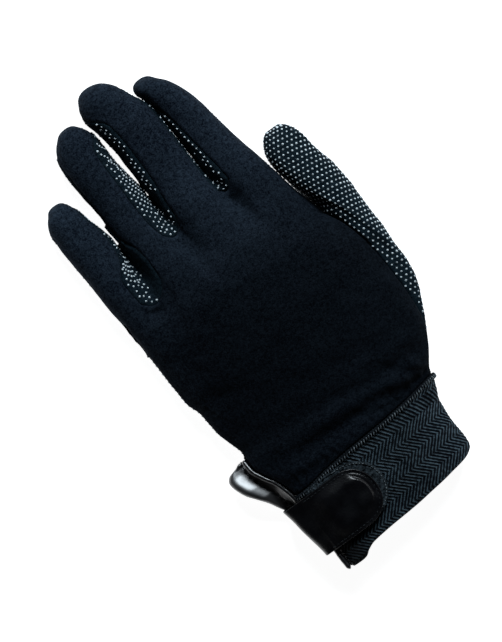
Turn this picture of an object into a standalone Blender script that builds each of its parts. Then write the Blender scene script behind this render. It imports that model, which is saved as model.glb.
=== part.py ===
# Left-hand horse riding glove lying palm down: +Y to the fingers, +X to the thumb, +Z up.
# The origin is on the flat of the palm. The skin is worked out in millimetre-sized grids from
# the sizes below, cut along its seams and given its wall inwards.
import math

import bpy
import numpy as np

# Lengths along the hand, in metres, from the middle of the wrist end
CUFF_LENGTH = 0.040
PALM_LENGTH = 0.120
LITTLE_LENGTH = 0.0467
RING_LENGTH = 0.0717
MIDDLE_LENGTH = 0.0803
INDEX_LENGTH = 0.0695
THUMB_ROOT_LENGTH = 0.0845
THUMB_LENGTH = 0.0453
VENT_LENGTH = 0.0255
REST_ALONG = 0.110

# Widths
LITTLE_WIDTH = 0.0207
RING_WIDTH = 0.0230
MIDDLE_WIDTH = 0.0258
INDEX_WIDTH = 0.0212
LITTLE_RING_GAP = 0.0015
RING_MIDDLE_GAP = 0.0009
MIDDLE_INDEX_GAP = 0.0008
CUFF_WIDTH = 0.0812
THUMB_WIDTH = 0.0220
TAB_WIDTH = 0.0272
TAB_LENGTH = 0.0385
PATCH_MARGIN = 0.0045
PIPING_WIDTH = 0.0024
FACING_WIDTH = 0.0100

# Heights
HAND_HEIGHT = 0.0265
CUFF_HEIGHT = 0.0190
LITTLE_HEIGHT = 0.0165
RING_HEIGHT = 0.0190
MIDDLE_HEIGHT = 0.0205
INDEX_HEIGHT = 0.0190
THUMB_HEIGHT = 0.0185
FACING_HEIGHT = 0.0075

# Walls and clearances
JERSEY = 0.0012
ELASTIC = 0.0018
LEATHER = 0.0015
LOOP_PILE = 0.0012
SEAM_GAP = 0.00040
TIP_WALL = 0.55
TIP_GAP = 1.5
CUFF_SEAM_GAP = 0.0008
PIPING_GAP = 0.0006
FACING_GAP = 0.0009
FACING_TOP_GAP = 0.0030
FACING_END_GAP = 0.0004
THUMB_SET = 0.0011
TAB_SET = 0.0030

# Cells in the grids
BODY_ROWS = 18
VENT_ROWS = 5
THUMB_ROWS = 12
FINGER_ROWS = 13
FINGER_CELLS = (5, 4, 4, 5)
SLOT_CELLS = 4
WALL_CELLS = 4
CUFF_ROWS = 5
CUFF_CELLS = 16
TAB_CELLS = 8
TAB_ROWS = 10
PIPING_SIDES = 8
PIPING_ROWS = 22

# Sizes that follow from those above
HAND_WIDTH = (LITTLE_WIDTH + RING_WIDTH + MIDDLE_WIDTH + INDEX_WIDTH
              + LITTLE_RING_GAP + RING_MIDDLE_GAP + MIDDLE_INDEX_GAP)
KNUCKLE = CUFF_LENGTH + PALM_LENGTH
ULNAR_EDGE = -0.591 * HAND_WIDTH
THUMB_EDGE = 0.458 * HAND_WIDTH + THUMB_SET
THUMB_START = CUFF_LENGTH + 0.052 * PALM_LENGTH
CUFF_SEAM_WIDTH = 0.8684 * HAND_WIDTH
CUFF_MIDDLE = -0.02 * HAND_WIDTH
CUFF_ULNAR = -0.42
CUFF_RADIAL = 0.46
TAB_ALONG = 0.515 * CUFF_LENGTH
TAB_END = -0.504 * CUFF_WIDTH + TAB_LENGTH - TAB_SET
PIPING_TOP = CUFF_LENGTH + 0.92 * VENT_LENGTH
PIPING_END = -0.103 * CUFF_LENGTH


def table(names, *rows):
    # Named columns of one short table
    return dict(zip(names.split(), np.array(rows, dtype=float).T))


def smooth(xs, ys, x):
    # Cubic through the rows of a table that never overshoots them
    x = np.clip(np.asarray(x, dtype=float), xs[0], xs[-1])
    step = np.diff(xs)
    slope = np.diff(ys) / step
    left = slope[:-1]
    right = slope[1:]
    same = left * right > 0
    mean = np.zeros(len(xs))
    total = np.where(same, left + right, 1.0)
    mean[1:-1] = np.where(same, 2.0 * left * right / total, 0.0)
    mean[0] = slope[0]
    mean[-1] = slope[-1]
    i = np.clip(np.searchsorted(xs, x, side="right") - 1, 0, len(xs) - 2)
    t = (x - xs[i]) / step[i]
    a = ys[i] * (1 + 2 * t) * (1 - t) ** 2
    b = ys[i + 1] * t * t * (3 - 2 * t)
    c = step[i] * (mean[i] * t * (1 - t) ** 2 - mean[i + 1] * t * t * (1 - t))
    return a + b + c


def read(rows, column, x, first="along"):
    return smooth(rows[first], rows[column], x)


def mix(a, b, t):
    return a + (b - a) * t


def ease(t):
    t = np.clip(t, 0.0, 1.0)
    return t * t * (3 - 2 * t)


def power(value, exponent):
    return np.sign(value) * np.abs(value) ** exponent


# Fingers: along is a share of the finger's length from the knuckle line, shift and wide are
# shares of its width, high of its height. ulnar and radial say how far in from the edge the
# back panel's seams lie, as shares of the width; -1 marks an outer side with one side seam.
COLUMNS = "along shift wide high ulnar radial"
LITTLE_SHAPE = table(
    COLUMNS,
    (-0.40, 0.055, 0.95, 1.00, -1, 0.36),
    (0.00, 0.034, 0.97, 1.00, -1, 0.40),
    (0.10, 0.026, 0.98, 0.99, -1, 0.25),
    (0.18, 0.020, 0.98, 0.98, -1, 0.12),
    (0.34, 0.005, 0.99, 0.95, -1, 0.04),
    (0.56, -0.031, 0.96, 0.89, -1, 0.03),
    (0.66, -0.065, 0.90, 0.86, -1, 0.03),
    (0.77, -0.097, 0.85, 0.82, -1, 0.03),
    (0.88, -0.092, 0.67, 0.72, -1, 0.03),
    (0.94, -0.077, 0.49, 0.58, -1, 0.03),
    (1.00, -0.075, 0.30, 0.00, -1, 0.03),
)
RING_SHAPE = table(
    COLUMNS,
    (-0.30, 0.000, 1.00, 1.02, 0.19, 0.15),
    (0.00, 0.000, 1.00, 1.00, 0.26, 0.16),
    (0.12, 0.005, 1.00, 0.97, 0.21, 0.26),
    (0.22, 0.010, 1.00, 0.94, 0.05, 0.33),
    (0.36, 0.013, 1.00, 0.90, 0.03, 0.36),
    (0.50, -0.015, 0.98, 0.86, 0.03, 0.32),
    (0.64, -0.050, 0.95, 0.83, 0.03, 0.28),
    (0.78, -0.057, 0.95, 0.80, 0.03, 0.23),
    (0.85, -0.046, 0.90, 0.76, 0.03, 0.20),
    (0.92, -0.033, 0.69, 0.66, 0.03, 0.14),
    (0.96, -0.020, 0.49, 0.52, 0.03, 0.08),
    (1.00, -0.010, 0.28, 0.00, 0.03, 0.03),
)
MIDDLE_SHAPE = table(
    COLUMNS,
    (-0.30, 0.030, 1.05, 1.04, 0.04, 0.02),
    (0.03, 0.036, 1.06, 1.00, 0.04, 0.02),
    (0.11, 0.020, 1.03, 0.98, 0.13, 0.03),
    (0.20, 0.005, 1.01, 0.95, 0.14, 0.03),
    (0.36, 0.000, 1.00, 0.90, 0.20, 0.03),
    (0.57, -0.015, 1.00, 0.86, 0.22, 0.03),
    (0.70, -0.046, 1.01, 0.83, 0.23, 0.03),
    (0.76, -0.090, 0.97, 0.81, 0.23, 0.03),
    (0.82, -0.156, 0.93, 0.79, 0.23, 0.03),
    (0.89, -0.200, 0.84, 0.73, 0.20, 0.03),
    (0.95, -0.230, 0.61, 0.59, 0.12, 0.03),
    (1.00, -0.270, 0.28, 0.00, 0.03, 0.03),
)
INDEX_SHAPE = table(
    COLUMNS,
    (-0.30, 0.200, 1.12, 1.03, 0.22, -1),
    (0.00, 0.160, 1.07, 1.00, 0.22, -1),
    (0.12, 0.085, 1.07, 0.97, 0.23, -1),
    (0.23, 0.026, 1.03, 0.95, 0.26, -1),
    (0.37, -0.024, 0.95, 0.91, 0.24, -1),
    (0.52, -0.064, 0.87, 0.87, 0.18, -1),
    (0.66, -0.097, 0.81, 0.84, 0.08, -1),
    (0.73, -0.130, 0.76, 0.82, 0.04, -1),
    (0.81, -0.205, 0.69, 0.79, 0.03, -1),
    (0.88, -0.304, 0.65, 0.74, 0.03, -1),
    (0.94, -0.420, 0.56, 0.62, 0.03, -1),
    (1.00, -0.455, 0.30, 0.00, 0.03, -1),
)

# Where the slots in the back and the crotches in the palm lie, as shares of the palm's length
# past the knuckle line (minus is towards the wrist), and the depth of each round bottom
SLOT_ULNAR = (-0.110, 0.045, 0.060)
SLOT_RADIAL = (-0.085, 0.040, 0.070)
SLOT_DEPTH = (0.040, 0.024, 0.028)
CROTCH = (0.146, 0.222, 0.235)
CROTCH_DEPTH = 0.010
SLOT_STEEP = (0.0, 0.9, 1.0)
TIP_BOW = 0.020
SIDE_ULNAR = -0.125
SIDE_RADIAL = 0.030

# Edges of the hand: along is a share of the palm's length from the cuff's seam, the x columns
# are shares of the hand's width and the z columns of the hand's height
ULNAR_SIDE = table(
    "along back_x palm_x back_z palm_z",
    (-0.42, -0.380, -0.396, 0.50, 0.16),
    (-0.34, -0.386, -0.397, 0.50, 0.16),
    (-0.27, -0.389, -0.400, 0.50, 0.16),
    (-0.17, -0.396, -0.419, 0.51, 0.16),
    (-0.04, -0.399, -0.446, 0.51, 0.16),
    (0.05, -0.426, -0.474, 0.49, 0.17),
    (0.10, -0.462, -0.496, 0.46, 0.20),
    (0.15, -0.488, -0.512, 0.42, 0.25),
    (0.18, -0.490, -0.508, 0.38, 0.29),
    (0.2125, -0.484, -0.484, 0.34, 0.34),
    (0.26, -0.501, -0.501, 0.34, 0.34),
    (0.34, -0.527, -0.527, 0.34, 0.34),
    (0.43, -0.531, -0.531, 0.34, 0.34),
    (0.49, -0.559, -0.559, 0.34, 0.34),
    (0.60, -0.564, -0.564, 0.33, 0.33),
    (0.80, -0.569, -0.569, 0.30, 0.30),
    (0.90, -0.573, -0.573, 0.26, 0.26),
    (1.00, -0.581, -0.581, 0.26, 0.26),
    (1.25, -0.594, -0.594, 0.26, 0.26),
)
RADIAL_SIDE = table(
    "along x z",
    (-0.34, 0.400, 0.30),
    (-0.29, 0.411, 0.30),
    (-0.16, 0.416, 0.30),
    (-0.07, 0.421, 0.30),
    (-0.02, 0.449, 0.30),
    (0.008, 0.465, 0.30),
    (0.03, 0.472, 0.30),
    (0.05, 0.476, 0.31),
    (0.76, 0.518, 0.32),
    (0.88, 0.480, 0.31),
    (1.00, 0.452, 0.30),
    (1.03, 0.444, 0.30),
    (1.13, 0.417, 0.30),
    (1.25, 0.386, 0.30),
)
CREST = table(
    "along high",
    (-0.36, 0.70),
    (-0.20, 0.72),
    (0.00, 0.76),
    (0.12, 0.84),
    (0.30, 0.93),
    (0.50, 1.00),
    (0.72, 0.99),
    (0.90, 0.87),
    (1.05, 0.78),
    (1.25, 0.74),
)
# The seam and the wrist end of the cuff: across is a share of the hand's width, y of the
# cuff's length
CUFF_ENDS = table(
    "across seam wrist",
    (-0.47, 0.905, -0.10),
    (-0.37, 0.92, -0.085),
    (-0.32, 0.925, -0.080),
    (-0.25, 0.955, -0.012),
    (-0.12, 0.985, 0.025),
    (0.02, 1.000, 0.037),
    (0.15, 1.015, 0.060),
    (0.31, 1.050, 0.090),
    (0.41, 1.080, 0.125),
    (0.47, 1.098, 0.150),
)

# Thumb: outer and inner are the two sides of each ring, x as shares of the thumb's width from
# the hand's edge, y as shares of its root length from the root's wrist corner; lean tips the
# ring's back towards the outside, high is a share of its height
THUMB_SHAPE = table(
    "along outer_x outer_y inner_x inner_y lean high side",
    (0.00, 0.020, 0.000, 0.210, 1.000, 0.470, 0.90, 0.48),
    (0.14, 0.480, 0.210, 0.223, 1.039, 0.430, 0.95, 0.47),
    (0.30, 0.790, 0.380, 0.180, 1.086, 0.330, 1.00, 0.46),
    (0.46, 0.950, 0.540, 0.140, 1.139, 0.200, 1.02, 0.45),
    (0.60, 0.995, 0.730, 0.055, 1.204, 0.100, 1.02, 0.44),
    (0.72, 1.025, 0.960, 0.000, 1.275, 0.040, 1.00, 0.43),
    (0.82, 1.015, 1.133, -0.040, 1.340, 0.000, 0.96, 0.43),
    (0.90, 0.890, 1.298, -0.045, 1.402, 0.000, 0.88, 0.43),
    (0.95, 0.800, 1.428, 0.035, 1.458, 0.000, 0.74, 0.43),
    (0.98, 0.690, 1.490, 0.130, 1.501, 0.000, 0.55, 0.43),
    (1.00, 0.540, 1.522, 0.280, 1.525, 0.000, 0.00, 0.43),
)
# The root ring's width over the back, as a share of its lean, along its length
THUMB_SEAM = table(
    "along back palm",
    (0.00, 0.00, 0.00),
    (0.12, 0.62, 0.45),
    (0.22, 0.95, 0.75),
    (0.33, 1.03, 0.92),
    (0.50, 1.00, 1.00),
    (0.72, 0.82, 0.95),
    (0.88, 0.50, 0.65),
    (1.00, 0.00, 0.00),
)

# The closure tab's end round the wrist, in the section across the cuff: x is a share of the
# tab's width outside the cuff's edge, z of the cuff's height
TAB_BEND = table(
    "turn x z",
    (0.00, 0.070, 0.13),
    (0.25, 0.168, 0.25),
    (0.50, 0.205, 0.47),
    (0.75, 0.152, 0.72),
    (1.00, -0.010, 0.885),
)
# The lobe of the vent's facing: along is a share of its length from the top of the vent, out
# a share of its width, high of its height
FACING_SHAPE = table(
    "along out high",
    (0.00, 0.42, 0.22),
    (0.05, 0.84, 0.68),
    (0.14, 0.94, 1.00),
    (0.24, 0.96, 1.10),
    (0.40, 0.85, 0.88),
    (0.56, 0.66, 0.55),
    (0.74, 0.50, 0.31),
    (0.90, 0.37, 0.17),
    (1.00, 0.26, 0.09),
)

FINGERS = (
    (LITTLE_SHAPE, LITTLE_LENGTH, LITTLE_WIDTH, LITTLE_HEIGHT, 0.0),
    (RING_SHAPE, RING_LENGTH, RING_WIDTH, RING_HEIGHT, LITTLE_WIDTH + LITTLE_RING_GAP),
    (MIDDLE_SHAPE, MIDDLE_LENGTH, MIDDLE_WIDTH, MIDDLE_HEIGHT,
     LITTLE_WIDTH + LITTLE_RING_GAP + RING_WIDTH + RING_MIDDLE_GAP),
    (INDEX_SHAPE, INDEX_LENGTH, INDEX_WIDTH, INDEX_HEIGHT,
     HAND_WIDTH - INDEX_WIDTH),
)
# A finger's widest line as a share of its height, the powers that round its section over the
# back and square it underneath, and how far its tip sinks
SIDE_SHARE = 0.42
OVER_POWER = 0.90
UNDER_POWER = 0.55
CROWN = 0.04
PAD_DEPTH = 1.06
PAD_POWER = 0.60
TIP_SINK = 0.55
# The hand's dome, the flat middle of the palm as a share of its width, and the soft folds
DOME_POWER = 2.3
PALM_FLAT = 0.50
FOLD_HEIGHT = 0.035 * HAND_HEIGHT
FOLD_PITCH = 0.105
PALM_SEAM = math.radians(30)
WALL_END = FINGER_ROWS - 3
SLOT_DIP = 0.03
KNUCKLE_FADE = 0.24
CROTCH_FADE = 0.065


def finger_point(f, y, angle):
    # Section of finger f at y: round over the back, squarer and flat underneath
    shape, length, width, height, start = FINGERS[f]
    along = (y - KNUCKLE) / length
    centre = ULNAR_EDGE + start + width * (0.5 + read(shape, "shift", along))
    half = 0.5 * width * np.sqrt(smooth(shape["along"], shape["wide"] ** 2, along))
    tall = height * np.sqrt(np.maximum(smooth(shape["along"], shape["high"] ** 2, along), 0.0))
    side = SIDE_SHARE * height * np.ones_like(tall)
    over = tall * (1 + CROWN - SIDE_SHARE)
    c = np.cos(angle)
    s = np.sin(angle)
    upper = s >= -1e-9
    x = centre + half * np.where(upper, power(c, OVER_POWER), power(c, UNDER_POWER))
    mid = side - SIDE_SHARE * (height - tall) * TIP_SINK
    down = np.minimum(PAD_DEPTH * SIDE_SHARE * tall, mid)
    bottom = np.maximum(mid - PAD_DEPTH * down * np.abs(s) ** PAD_POWER, 0.0)
    z = np.where(upper, mid + over * np.abs(s) ** OVER_POWER, bottom)
    return np.stack([x, y * np.ones_like(x), z], axis=-1)


def finger_share(j):
    return 1 - (1 - j / FINGER_ROWS) ** 1.4


def root_y(f):
    # Where the four corners of finger f start: back ulnar and radial, palm radial and ulnar
    ulnar = SLOT_RADIAL[f - 1] if f > 0 else SIDE_ULNAR
    radial = SLOT_ULNAR[f] if f < 3 else SIDE_RADIAL
    palm_ulnar = CROTCH[f - 1] if f > 0 else SIDE_ULNAR
    palm_radial = CROTCH[f] if f < 3 else SIDE_RADIAL
    return [KNUCKLE + PALM_LENGTH * share for share in (ulnar, radial, palm_radial, palm_ulnar)]


def finger_rows(f):
    # Grids of one finger's back, radial wall, palm and ulnar wall, each running clockwise
    back_u, back_r, palm_r, palm_u = root_y(f)
    tip = KNUCKLE + FINGERS[f][1]
    cells = FINGER_CELLS[f]
    grids = {"back": [], "radial": [], "palm": [], "ulnar": []}
    for j in range(FINGER_ROWS + 1):
        share = finger_share(j)
        a_bu, a_br, a_pr, a_pu = seam_angles_at(f, j)
        runs = {
            "back": (a_bu, a_br, back_u, back_r, cells),
            "radial": (a_br, a_pr, back_r, palm_r, WALL_CELLS),
            "palm": (a_pr, a_pu, palm_r, palm_u, cells),
            "ulnar": (a_pu, a_bu - 2 * math.pi, palm_u, back_u, WALL_CELLS),
        }
        for name, (a0, a1, y0, y1, count) in runs.items():
            t = np.linspace(0, 1, count + 1)
            bow = TIP_BOW * FINGERS[f][1]
            tip_y = tip - bow + 0 * t
            skew = t
            if name in ("back", "palm"):
                tip_y = tip - bow * (2 * t - 1) ** 2
            elif name == "radial":
                skew = wall_skew(t, SLOT_STEEP[min(f, 2)])
            else:
                skew = 1 - wall_skew(1 - t, SLOT_STEEP[max(f - 1, 0)])
            y = mix(mix(y0, y1, skew), tip_y, share)
            grids[name].append(finger_point(f, y, mix(a0, a1, t)))
    # The last rows of back and palm meet in one line, the seam round the tip
    middle = 0.5 * (grids["back"][-1] + grids["palm"][-1][::-1])
    grids["back"][-1] = middle
    grids["palm"][-1] = middle[::-1]
    return {name: np.array(rows) for name, rows in grids.items()}


def wall_skew(t, steep):
    # How a wall's rows run from the back's slot to the palm's crotch
    return mix(ease(t), np.sin(0.5 * math.pi * t), steep)


def seam_angles_at(f, j):
    # The seams' insets are read where the seam really is at row j
    shape, length = FINGERS[f][0], FINGERS[f][1]
    back_u, back_r, palm_r, palm_u = root_y(f)
    tip = KNUCKLE + length
    closing = float(ease((WALL_END + 1 - j) / 5.0))
    share = finger_share(j)
    angles = []
    for side, y0 in (("ulnar", back_u), ("radial", back_r)):
        if shape[side][0] < 0:
            angles.append((0.0, 0.0))
            continue
        inset = float(read(shape, side, (mix(y0, tip, share) - KNUCKLE) / length))
        cosine = max(0.0, 1 - 2 * inset) ** (1 / OVER_POWER)
        back = max(math.acos(min(cosine, 1.0)), math.radians(8))
        angles.append((back * closing, PALM_SEAM * closing))
    (ulnar_back, ulnar_palm), (radial_back, radial_palm) = angles
    return math.pi - ulnar_back, radial_back, -radial_palm, ulnar_palm - math.pi


def slot_arc(start, end, depth, dip):
    # Round bottom between two fingers, towards the wrist
    t = np.linspace(0, 1, SLOT_CELLS + 1)[:, None]
    arc = mix(start, end, t)
    bow = np.sin(math.pi * t[:, 0])
    arc[:, 1] -= depth * bow
    arc[:, 2] -= dip * bow
    return arc


def palm_share(y):
    return (y - CUFF_LENGTH) / PALM_LENGTH


def thumb_ring(v, angle):
    # Ring of the thumb at share v of its way out; angle 0 is outside, a quarter turn the back
    rows = THUMB_SHAPE
    tip_run = np.maximum(0.0, read(rows, "outer_y", v) - 1.0)
    tip_run_in = np.maximum(0.0, read(rows, "inner_y", v) - 1.0)
    per_tip = THUMB_LENGTH / (THUMB_SHAPE["inner_y"][-1] - 1.0)
    outer_y = THUMB_START + THUMB_ROOT_LENGTH * np.minimum(read(rows, "outer_y", v), 1.0)
    inner_y = THUMB_START + THUMB_ROOT_LENGTH * np.minimum(read(rows, "inner_y", v), 1.0)
    outer = np.stack([THUMB_EDGE + THUMB_WIDTH * read(rows, "outer_x", v),
                      outer_y + per_tip * tip_run], axis=-1)
    inner = np.stack([THUMB_EDGE + THUMB_WIDTH * read(rows, "inner_x", v),
                      inner_y + per_tip * tip_run_in], axis=-1)
    centre = 0.5 * (outer + inner)
    half = 0.5 * (outer - inner)
    c = np.cos(angle)
    s = np.sin(angle)
    along = 0.5 * (1 - c)
    seam = np.where(s >= 0, read(THUMB_SEAM, "back", along), read(THUMB_SEAM, "palm", along))
    near = ease(1 - v / 0.30)
    lean = THUMB_WIDTH * read(rows, "lean", v) * mix(s, np.sign(s) * seam, near)
    high = THUMB_HEIGHT * np.sqrt(np.maximum(smooth(rows["along"], rows["high"] ** 2, v), 0.0))
    side = THUMB_HEIGHT * read(rows, "side", v)
    up = np.maximum(high - side * high / THUMB_HEIGHT, 0.0)
    down = side * high / THUMB_HEIGHT
    mid = side * mix(1.0, high / THUMB_HEIGHT, 0.3)
    z = np.where(s >= 0, mid + up * np.abs(s) ** 0.85,
                 np.maximum(mid - 1.06 * np.minimum(1.1 * down, mid) * np.abs(s) ** 0.6, 0.0))
    x = centre[..., 0] + half[..., 0] * c + lean
    y = centre[..., 1] + half[..., 1] * c
    return np.stack([x * np.ones_like(z), y * np.ones_like(z), z], axis=-1)


def root_angles():
    # Angles of the root ring at the hand's rows, between even lengths and even turns
    k = np.arange(THUMB_ROWS + 1) / THUMB_ROWS
    along = mix(k, 0.5 * (1 - np.cos(math.pi * k)), 0.6)
    return np.arccos(1 - 2 * along)


def side_rows():
    # y of the body's rows at the ulnar and at the radial side
    seam_u = CUFF_LENGTH * float(read(CUFF_ENDS, "seam", CUFF_ULNAR, "across"))
    seam_r = CUFF_LENGTH * float(read(CUFF_ENDS, "seam", CUFF_RADIAL, "across"))
    vent_top = CUFF_LENGTH + VENT_LENGTH
    ulnar = np.concatenate([
        np.linspace(seam_u, vent_top, VENT_ROWS + 1),
        np.linspace(vent_top, KNUCKLE + PALM_LENGTH * SIDE_ULNAR, BODY_ROWS - VENT_ROWS + 1)[1:],
    ])
    ring = thumb_ring(0.0, root_angles())
    radial = np.concatenate([
        [seam_r],
        ring[:, 1],
        np.linspace(ring[-1, 1], KNUCKLE + PALM_LENGTH * SIDE_RADIAL,
                    BODY_ROWS - THUMB_ROWS)[1:],
    ])
    return ulnar, radial


def radial_edge(y, back):
    # x and z of the body's radial edge: the thumb's root seam, and the side seam elsewhere
    share = palm_share(y)
    x = HAND_WIDTH * read(RADIAL_SIDE, "x", share)
    z = HAND_HEIGHT * read(RADIAL_SIDE, "z", share)
    angles = root_angles()
    ring = thumb_ring(0.0, angles if back else -angles)
    inside = (y > ring[0, 1]) & (y < ring[-1, 1])
    ring_x = np.interp(y, ring[:, 1], ring[:, 0])
    ring_z = np.interp(y, ring[:, 1], ring[:, 2])
    return np.where(inside, ring_x, x), np.where(inside, ring_z, z)


def ulnar_edge(y, back):
    share = palm_share(y)
    name = "back" if back else "palm"
    x = HAND_WIDTH * read(ULNAR_SIDE, name + "_x", share)
    z = HAND_HEIGHT * read(ULNAR_SIDE, name + "_z", share)
    return x, z


def body_point(across, y, back):
    # The hand at share across of its width: a dome over the back, flat with round sides below
    left_x, left_z = ulnar_edge(y, back)
    right_x, right_z = radial_edge(y, back)
    x = mix(left_x, right_x, across)
    edge_z = mix(left_z, right_z, across)
    off = np.abs(2 * across - 1)
    if back:
        dome = np.sqrt(np.maximum(1 - off ** DOME_POWER, 0.0))
        z = edge_z + (crest_height(y) - 0.5 * (left_z + right_z)) * dome
        z = z + FOLD_HEIGHT * fold(x, y) * dome
    else:
        turn = np.clip((off - PALM_FLAT) / (1 - PALM_FLAT), 0.0, 1.0)
        z = edge_z * (1 - np.sqrt(np.maximum(1 - turn ** 2, 0.0)))
    return np.stack([x, y * np.ones_like(x), z], axis=-1)


def crest_height(y):
    # The hand's crest, which sinks to the cuff's height at the wrist
    high = read(CREST, "high", palm_share(y))
    wrist = float(read(CREST, "high", -0.20))
    return HAND_HEIGHT * high + (CUFF_HEIGHT - wrist * HAND_HEIGHT) * ease(-palm_share(y) / 0.10 + 1)


def fold(x, y):
    # Soft cross folds above the cuff, strongest on the thumb's side
    share = palm_share(y)
    wave = np.sin(2 * math.pi * (share / FOLD_PITCH + 0.9 * x / HAND_WIDTH))
    return wave * np.exp(-((share - 0.13) / 0.11) ** 2) * mix(0.7, 1.3, ease(x / HAND_WIDTH + 0.5))


def knuckle_row(fingers, side):
    # The row through the slots' bottoms, or through the palm's crotches, from ulnar to radial
    parts = []
    for f in range(4):
        row = fingers[f][side][0]
        if side == "palm":
            row = row[::-1]
        parts.append(row if f == 0 else row[1:])
        if f < 3:
            nxt = fingers[f + 1][side][0]
            start = nxt[-1] if side == "palm" else nxt[0]
            depth = PALM_LENGTH * (CROTCH_DEPTH if side == "palm" else SLOT_DEPTH[f])
            dip = 0.0 if side == "palm" else SLOT_DIP * HAND_HEIGHT
            arc = slot_arc(row[-1], start, depth, dip)
            parts.append(arc[1:])
    return np.concatenate(parts)


def body_grid(fingers, back):
    # Rows from the cuff's seam to the knuckle row, columns from the ulnar to the radial side
    last = knuckle_row(fingers, "back" if back else "palm")
    count = len(last)
    left_x, _ = ulnar_edge(last[:, 1], back)
    right_x, _ = radial_edge(last[:, 1], back)
    across_last = np.clip((last[:, 0] - left_x) / (right_x - left_x), 0, 1)
    across_last[0] = 0
    across_last[-1] = 1
    across_first = 0.5 * (1 - np.cos(math.pi * np.arange(count) / (count - 1)))
    ulnar, radial = side_rows()
    seam_x = mix(CUFF_ULNAR, CUFF_RADIAL, across_first)
    first_y = CUFF_LENGTH * read(CUFF_ENDS, "seam", seam_x, "across")
    rows = []
    for j in range(BODY_ROWS + 1):
        done_u = (ulnar[j] - ulnar[0]) / (ulnar[-1] - ulnar[0])
        done_r = (radial[j] - radial[0]) / (radial[-1] - radial[0])
        done = mix(done_u, done_r, across_first)
        across = mix(across_first, across_last, ease(done))
        across[0] = 0
        across[-1] = 1
        y = first_y + (last[:, 1] - first_y) * done
        y[0] = ulnar[j]
        y[-1] = radial[j]
        points = body_point(across, y, back)
        fade = np.full(count, KNUCKLE_FADE if back else CROTCH_FADE)
        fade[[0, -1]] = KNUCKLE_FADE
        near = ease(1 - (last[:, 1] - y) / (fade * PALM_LENGTH))
        points[:, 2] = mix(points[:, 2], last[:, 2], near)
        if j == BODY_ROWS:
            points = last.copy()
        rows.append(points)
    grid = np.array(rows)
    edge = slice(1, THUMB_ROWS + 2)
    angles = root_angles()
    grid[edge, -1] = thumb_ring(0.0, angles if back else -angles)
    return grid


def web_grid(fingers, f, top, bottom):
    # Web between two fingers: edges given, the inside blended between them
    left = fingers[f]["radial"][0]
    right = fingers[f + 1]["ulnar"][0][::-1]
    q = np.linspace(0, 1, WALL_CELLS + 1)[:, None, None]
    t = np.linspace(0, 1, SLOT_CELLS + 1)[None, :, None]
    sides = mix(left[:, None], right[:, None], t)
    ends = mix(top[None], bottom[None], q)
    corners = mix(mix(top[0], top[-1], t), mix(bottom[0], bottom[-1], t), q)
    return sides + ends - corners


def thumb_grid():
    # Rings from the root to the tip, each starting at the outside and going over the back
    root = root_angles()
    ring0 = np.concatenate([root, 2 * math.pi - root[::-1][1:]])
    even = np.linspace(0, 2 * math.pi, len(ring0))
    v = np.concatenate([np.linspace(0, 0.85, 9), [0.90, 0.94, 0.97, 0.99, 1.0]])
    rings = []
    for value in v:
        angle = mix(ring0, even, ease(value / 0.5))
        signed = np.where(angle > math.pi, angle - 2 * math.pi, angle)
        rings.append(thumb_ring(value, signed))
    rings = np.array(rings)
    rings[:, -1] = rings[:, 0]
    top = rings[-1]
    half = len(top) // 2
    lower = top[half:][::-1]
    middle = 0.5 * (top[:half + 1] + lower)
    rings[-1, :half + 1] = middle
    rings[-1, half:] = middle[::-1]
    return rings


def patch_faces(grid, flip):
    rows, columns = grid.shape[:2]
    ids = np.arange(rows * columns).reshape(rows, columns)
    faces = np.stack([ids[:-1, :-1], ids[:-1, 1:], ids[1:, 1:], ids[1:, :-1]], axis=-1)
    faces = faces.reshape(-1, 4)
    if flip:
        faces = faces[:, ::-1]
    return grid.reshape(-1, 3), faces


def weld(patches):
    # One skin from all patches: equal points become one, cells with a lost side triangles
    points = []
    faces = []
    owners = []
    start = 0
    for name, grid, flip in patches:
        corner, cells = patch_faces(grid, flip)
        points.append(corner)
        faces.append(cells + start)
        owners += [name] * len(cells)
        start += len(corner)
    points = np.concatenate(points)
    faces = np.concatenate(faces)
    key = np.round(points / 2e-6).astype(np.int64)
    _, first, back = np.unique(key, axis=0, return_index=True, return_inverse=True)
    back = back.reshape(-1)
    skin = points[first]
    kept = []
    names = []
    for cell, name in zip(back[faces], owners):
        ring = [int(i) for k, i in enumerate(cell) if i != cell[k - 1]]
        if len(set(ring)) >= 3:
            kept.append(ring)
            names.append(name)
    return skin, kept, names


def skin_normals(points, faces):
    # Normals for the wall: faces count by their size, and the wall gets deeper in folds
    total = np.zeros_like(points)
    units = []
    for ring in faces:
        corners = points[ring]
        normal = np.cross(corners[2] - corners[0], corners[-1] - corners[1])
        size = np.linalg.norm(normal)
        unit = normal / size if size > 1e-14 else normal * 0
        units.append(unit)
        total[ring] += unit * math.sqrt(size)
    length = np.linalg.norm(total, axis=1, keepdims=True)
    mean = total / np.maximum(length, 1e-12)
    lowest = np.ones(len(points))
    for ring, unit in zip(faces, units):
        lowest[ring] = np.minimum(lowest[ring], mean[ring] @ unit)
    return mean / np.clip(lowest, 0.62, 1.0)[:, None]


def wall_share(points):
    # The seam round each fingertip takes up part of the wall
    share = np.ones(len(points))
    for f in range(4):
        shape, length, width, height, _ = FINGERS[f]
        tip = finger_point(f, np.array([KNUCKLE + length * 0.985]), np.array([0.0, math.pi]))
        far = np.linalg.norm(points - tip.mean(axis=0), axis=1)
        share = np.minimum(share, mix(TIP_WALL, 1.0, ease((far - 0.25 * width) / (0.35 * width))))
    return share


def boundary(faces):
    # Edges used by one face only, in that face's direction
    seen = {}
    for ring in faces:
        for a, b in zip(ring, ring[1:] + ring[:1]):
            seen[(a, b)] = seen.get((a, b), 0) + 1
    return [(a, b) for (a, b) in seen if (b, a) not in seen]


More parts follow.
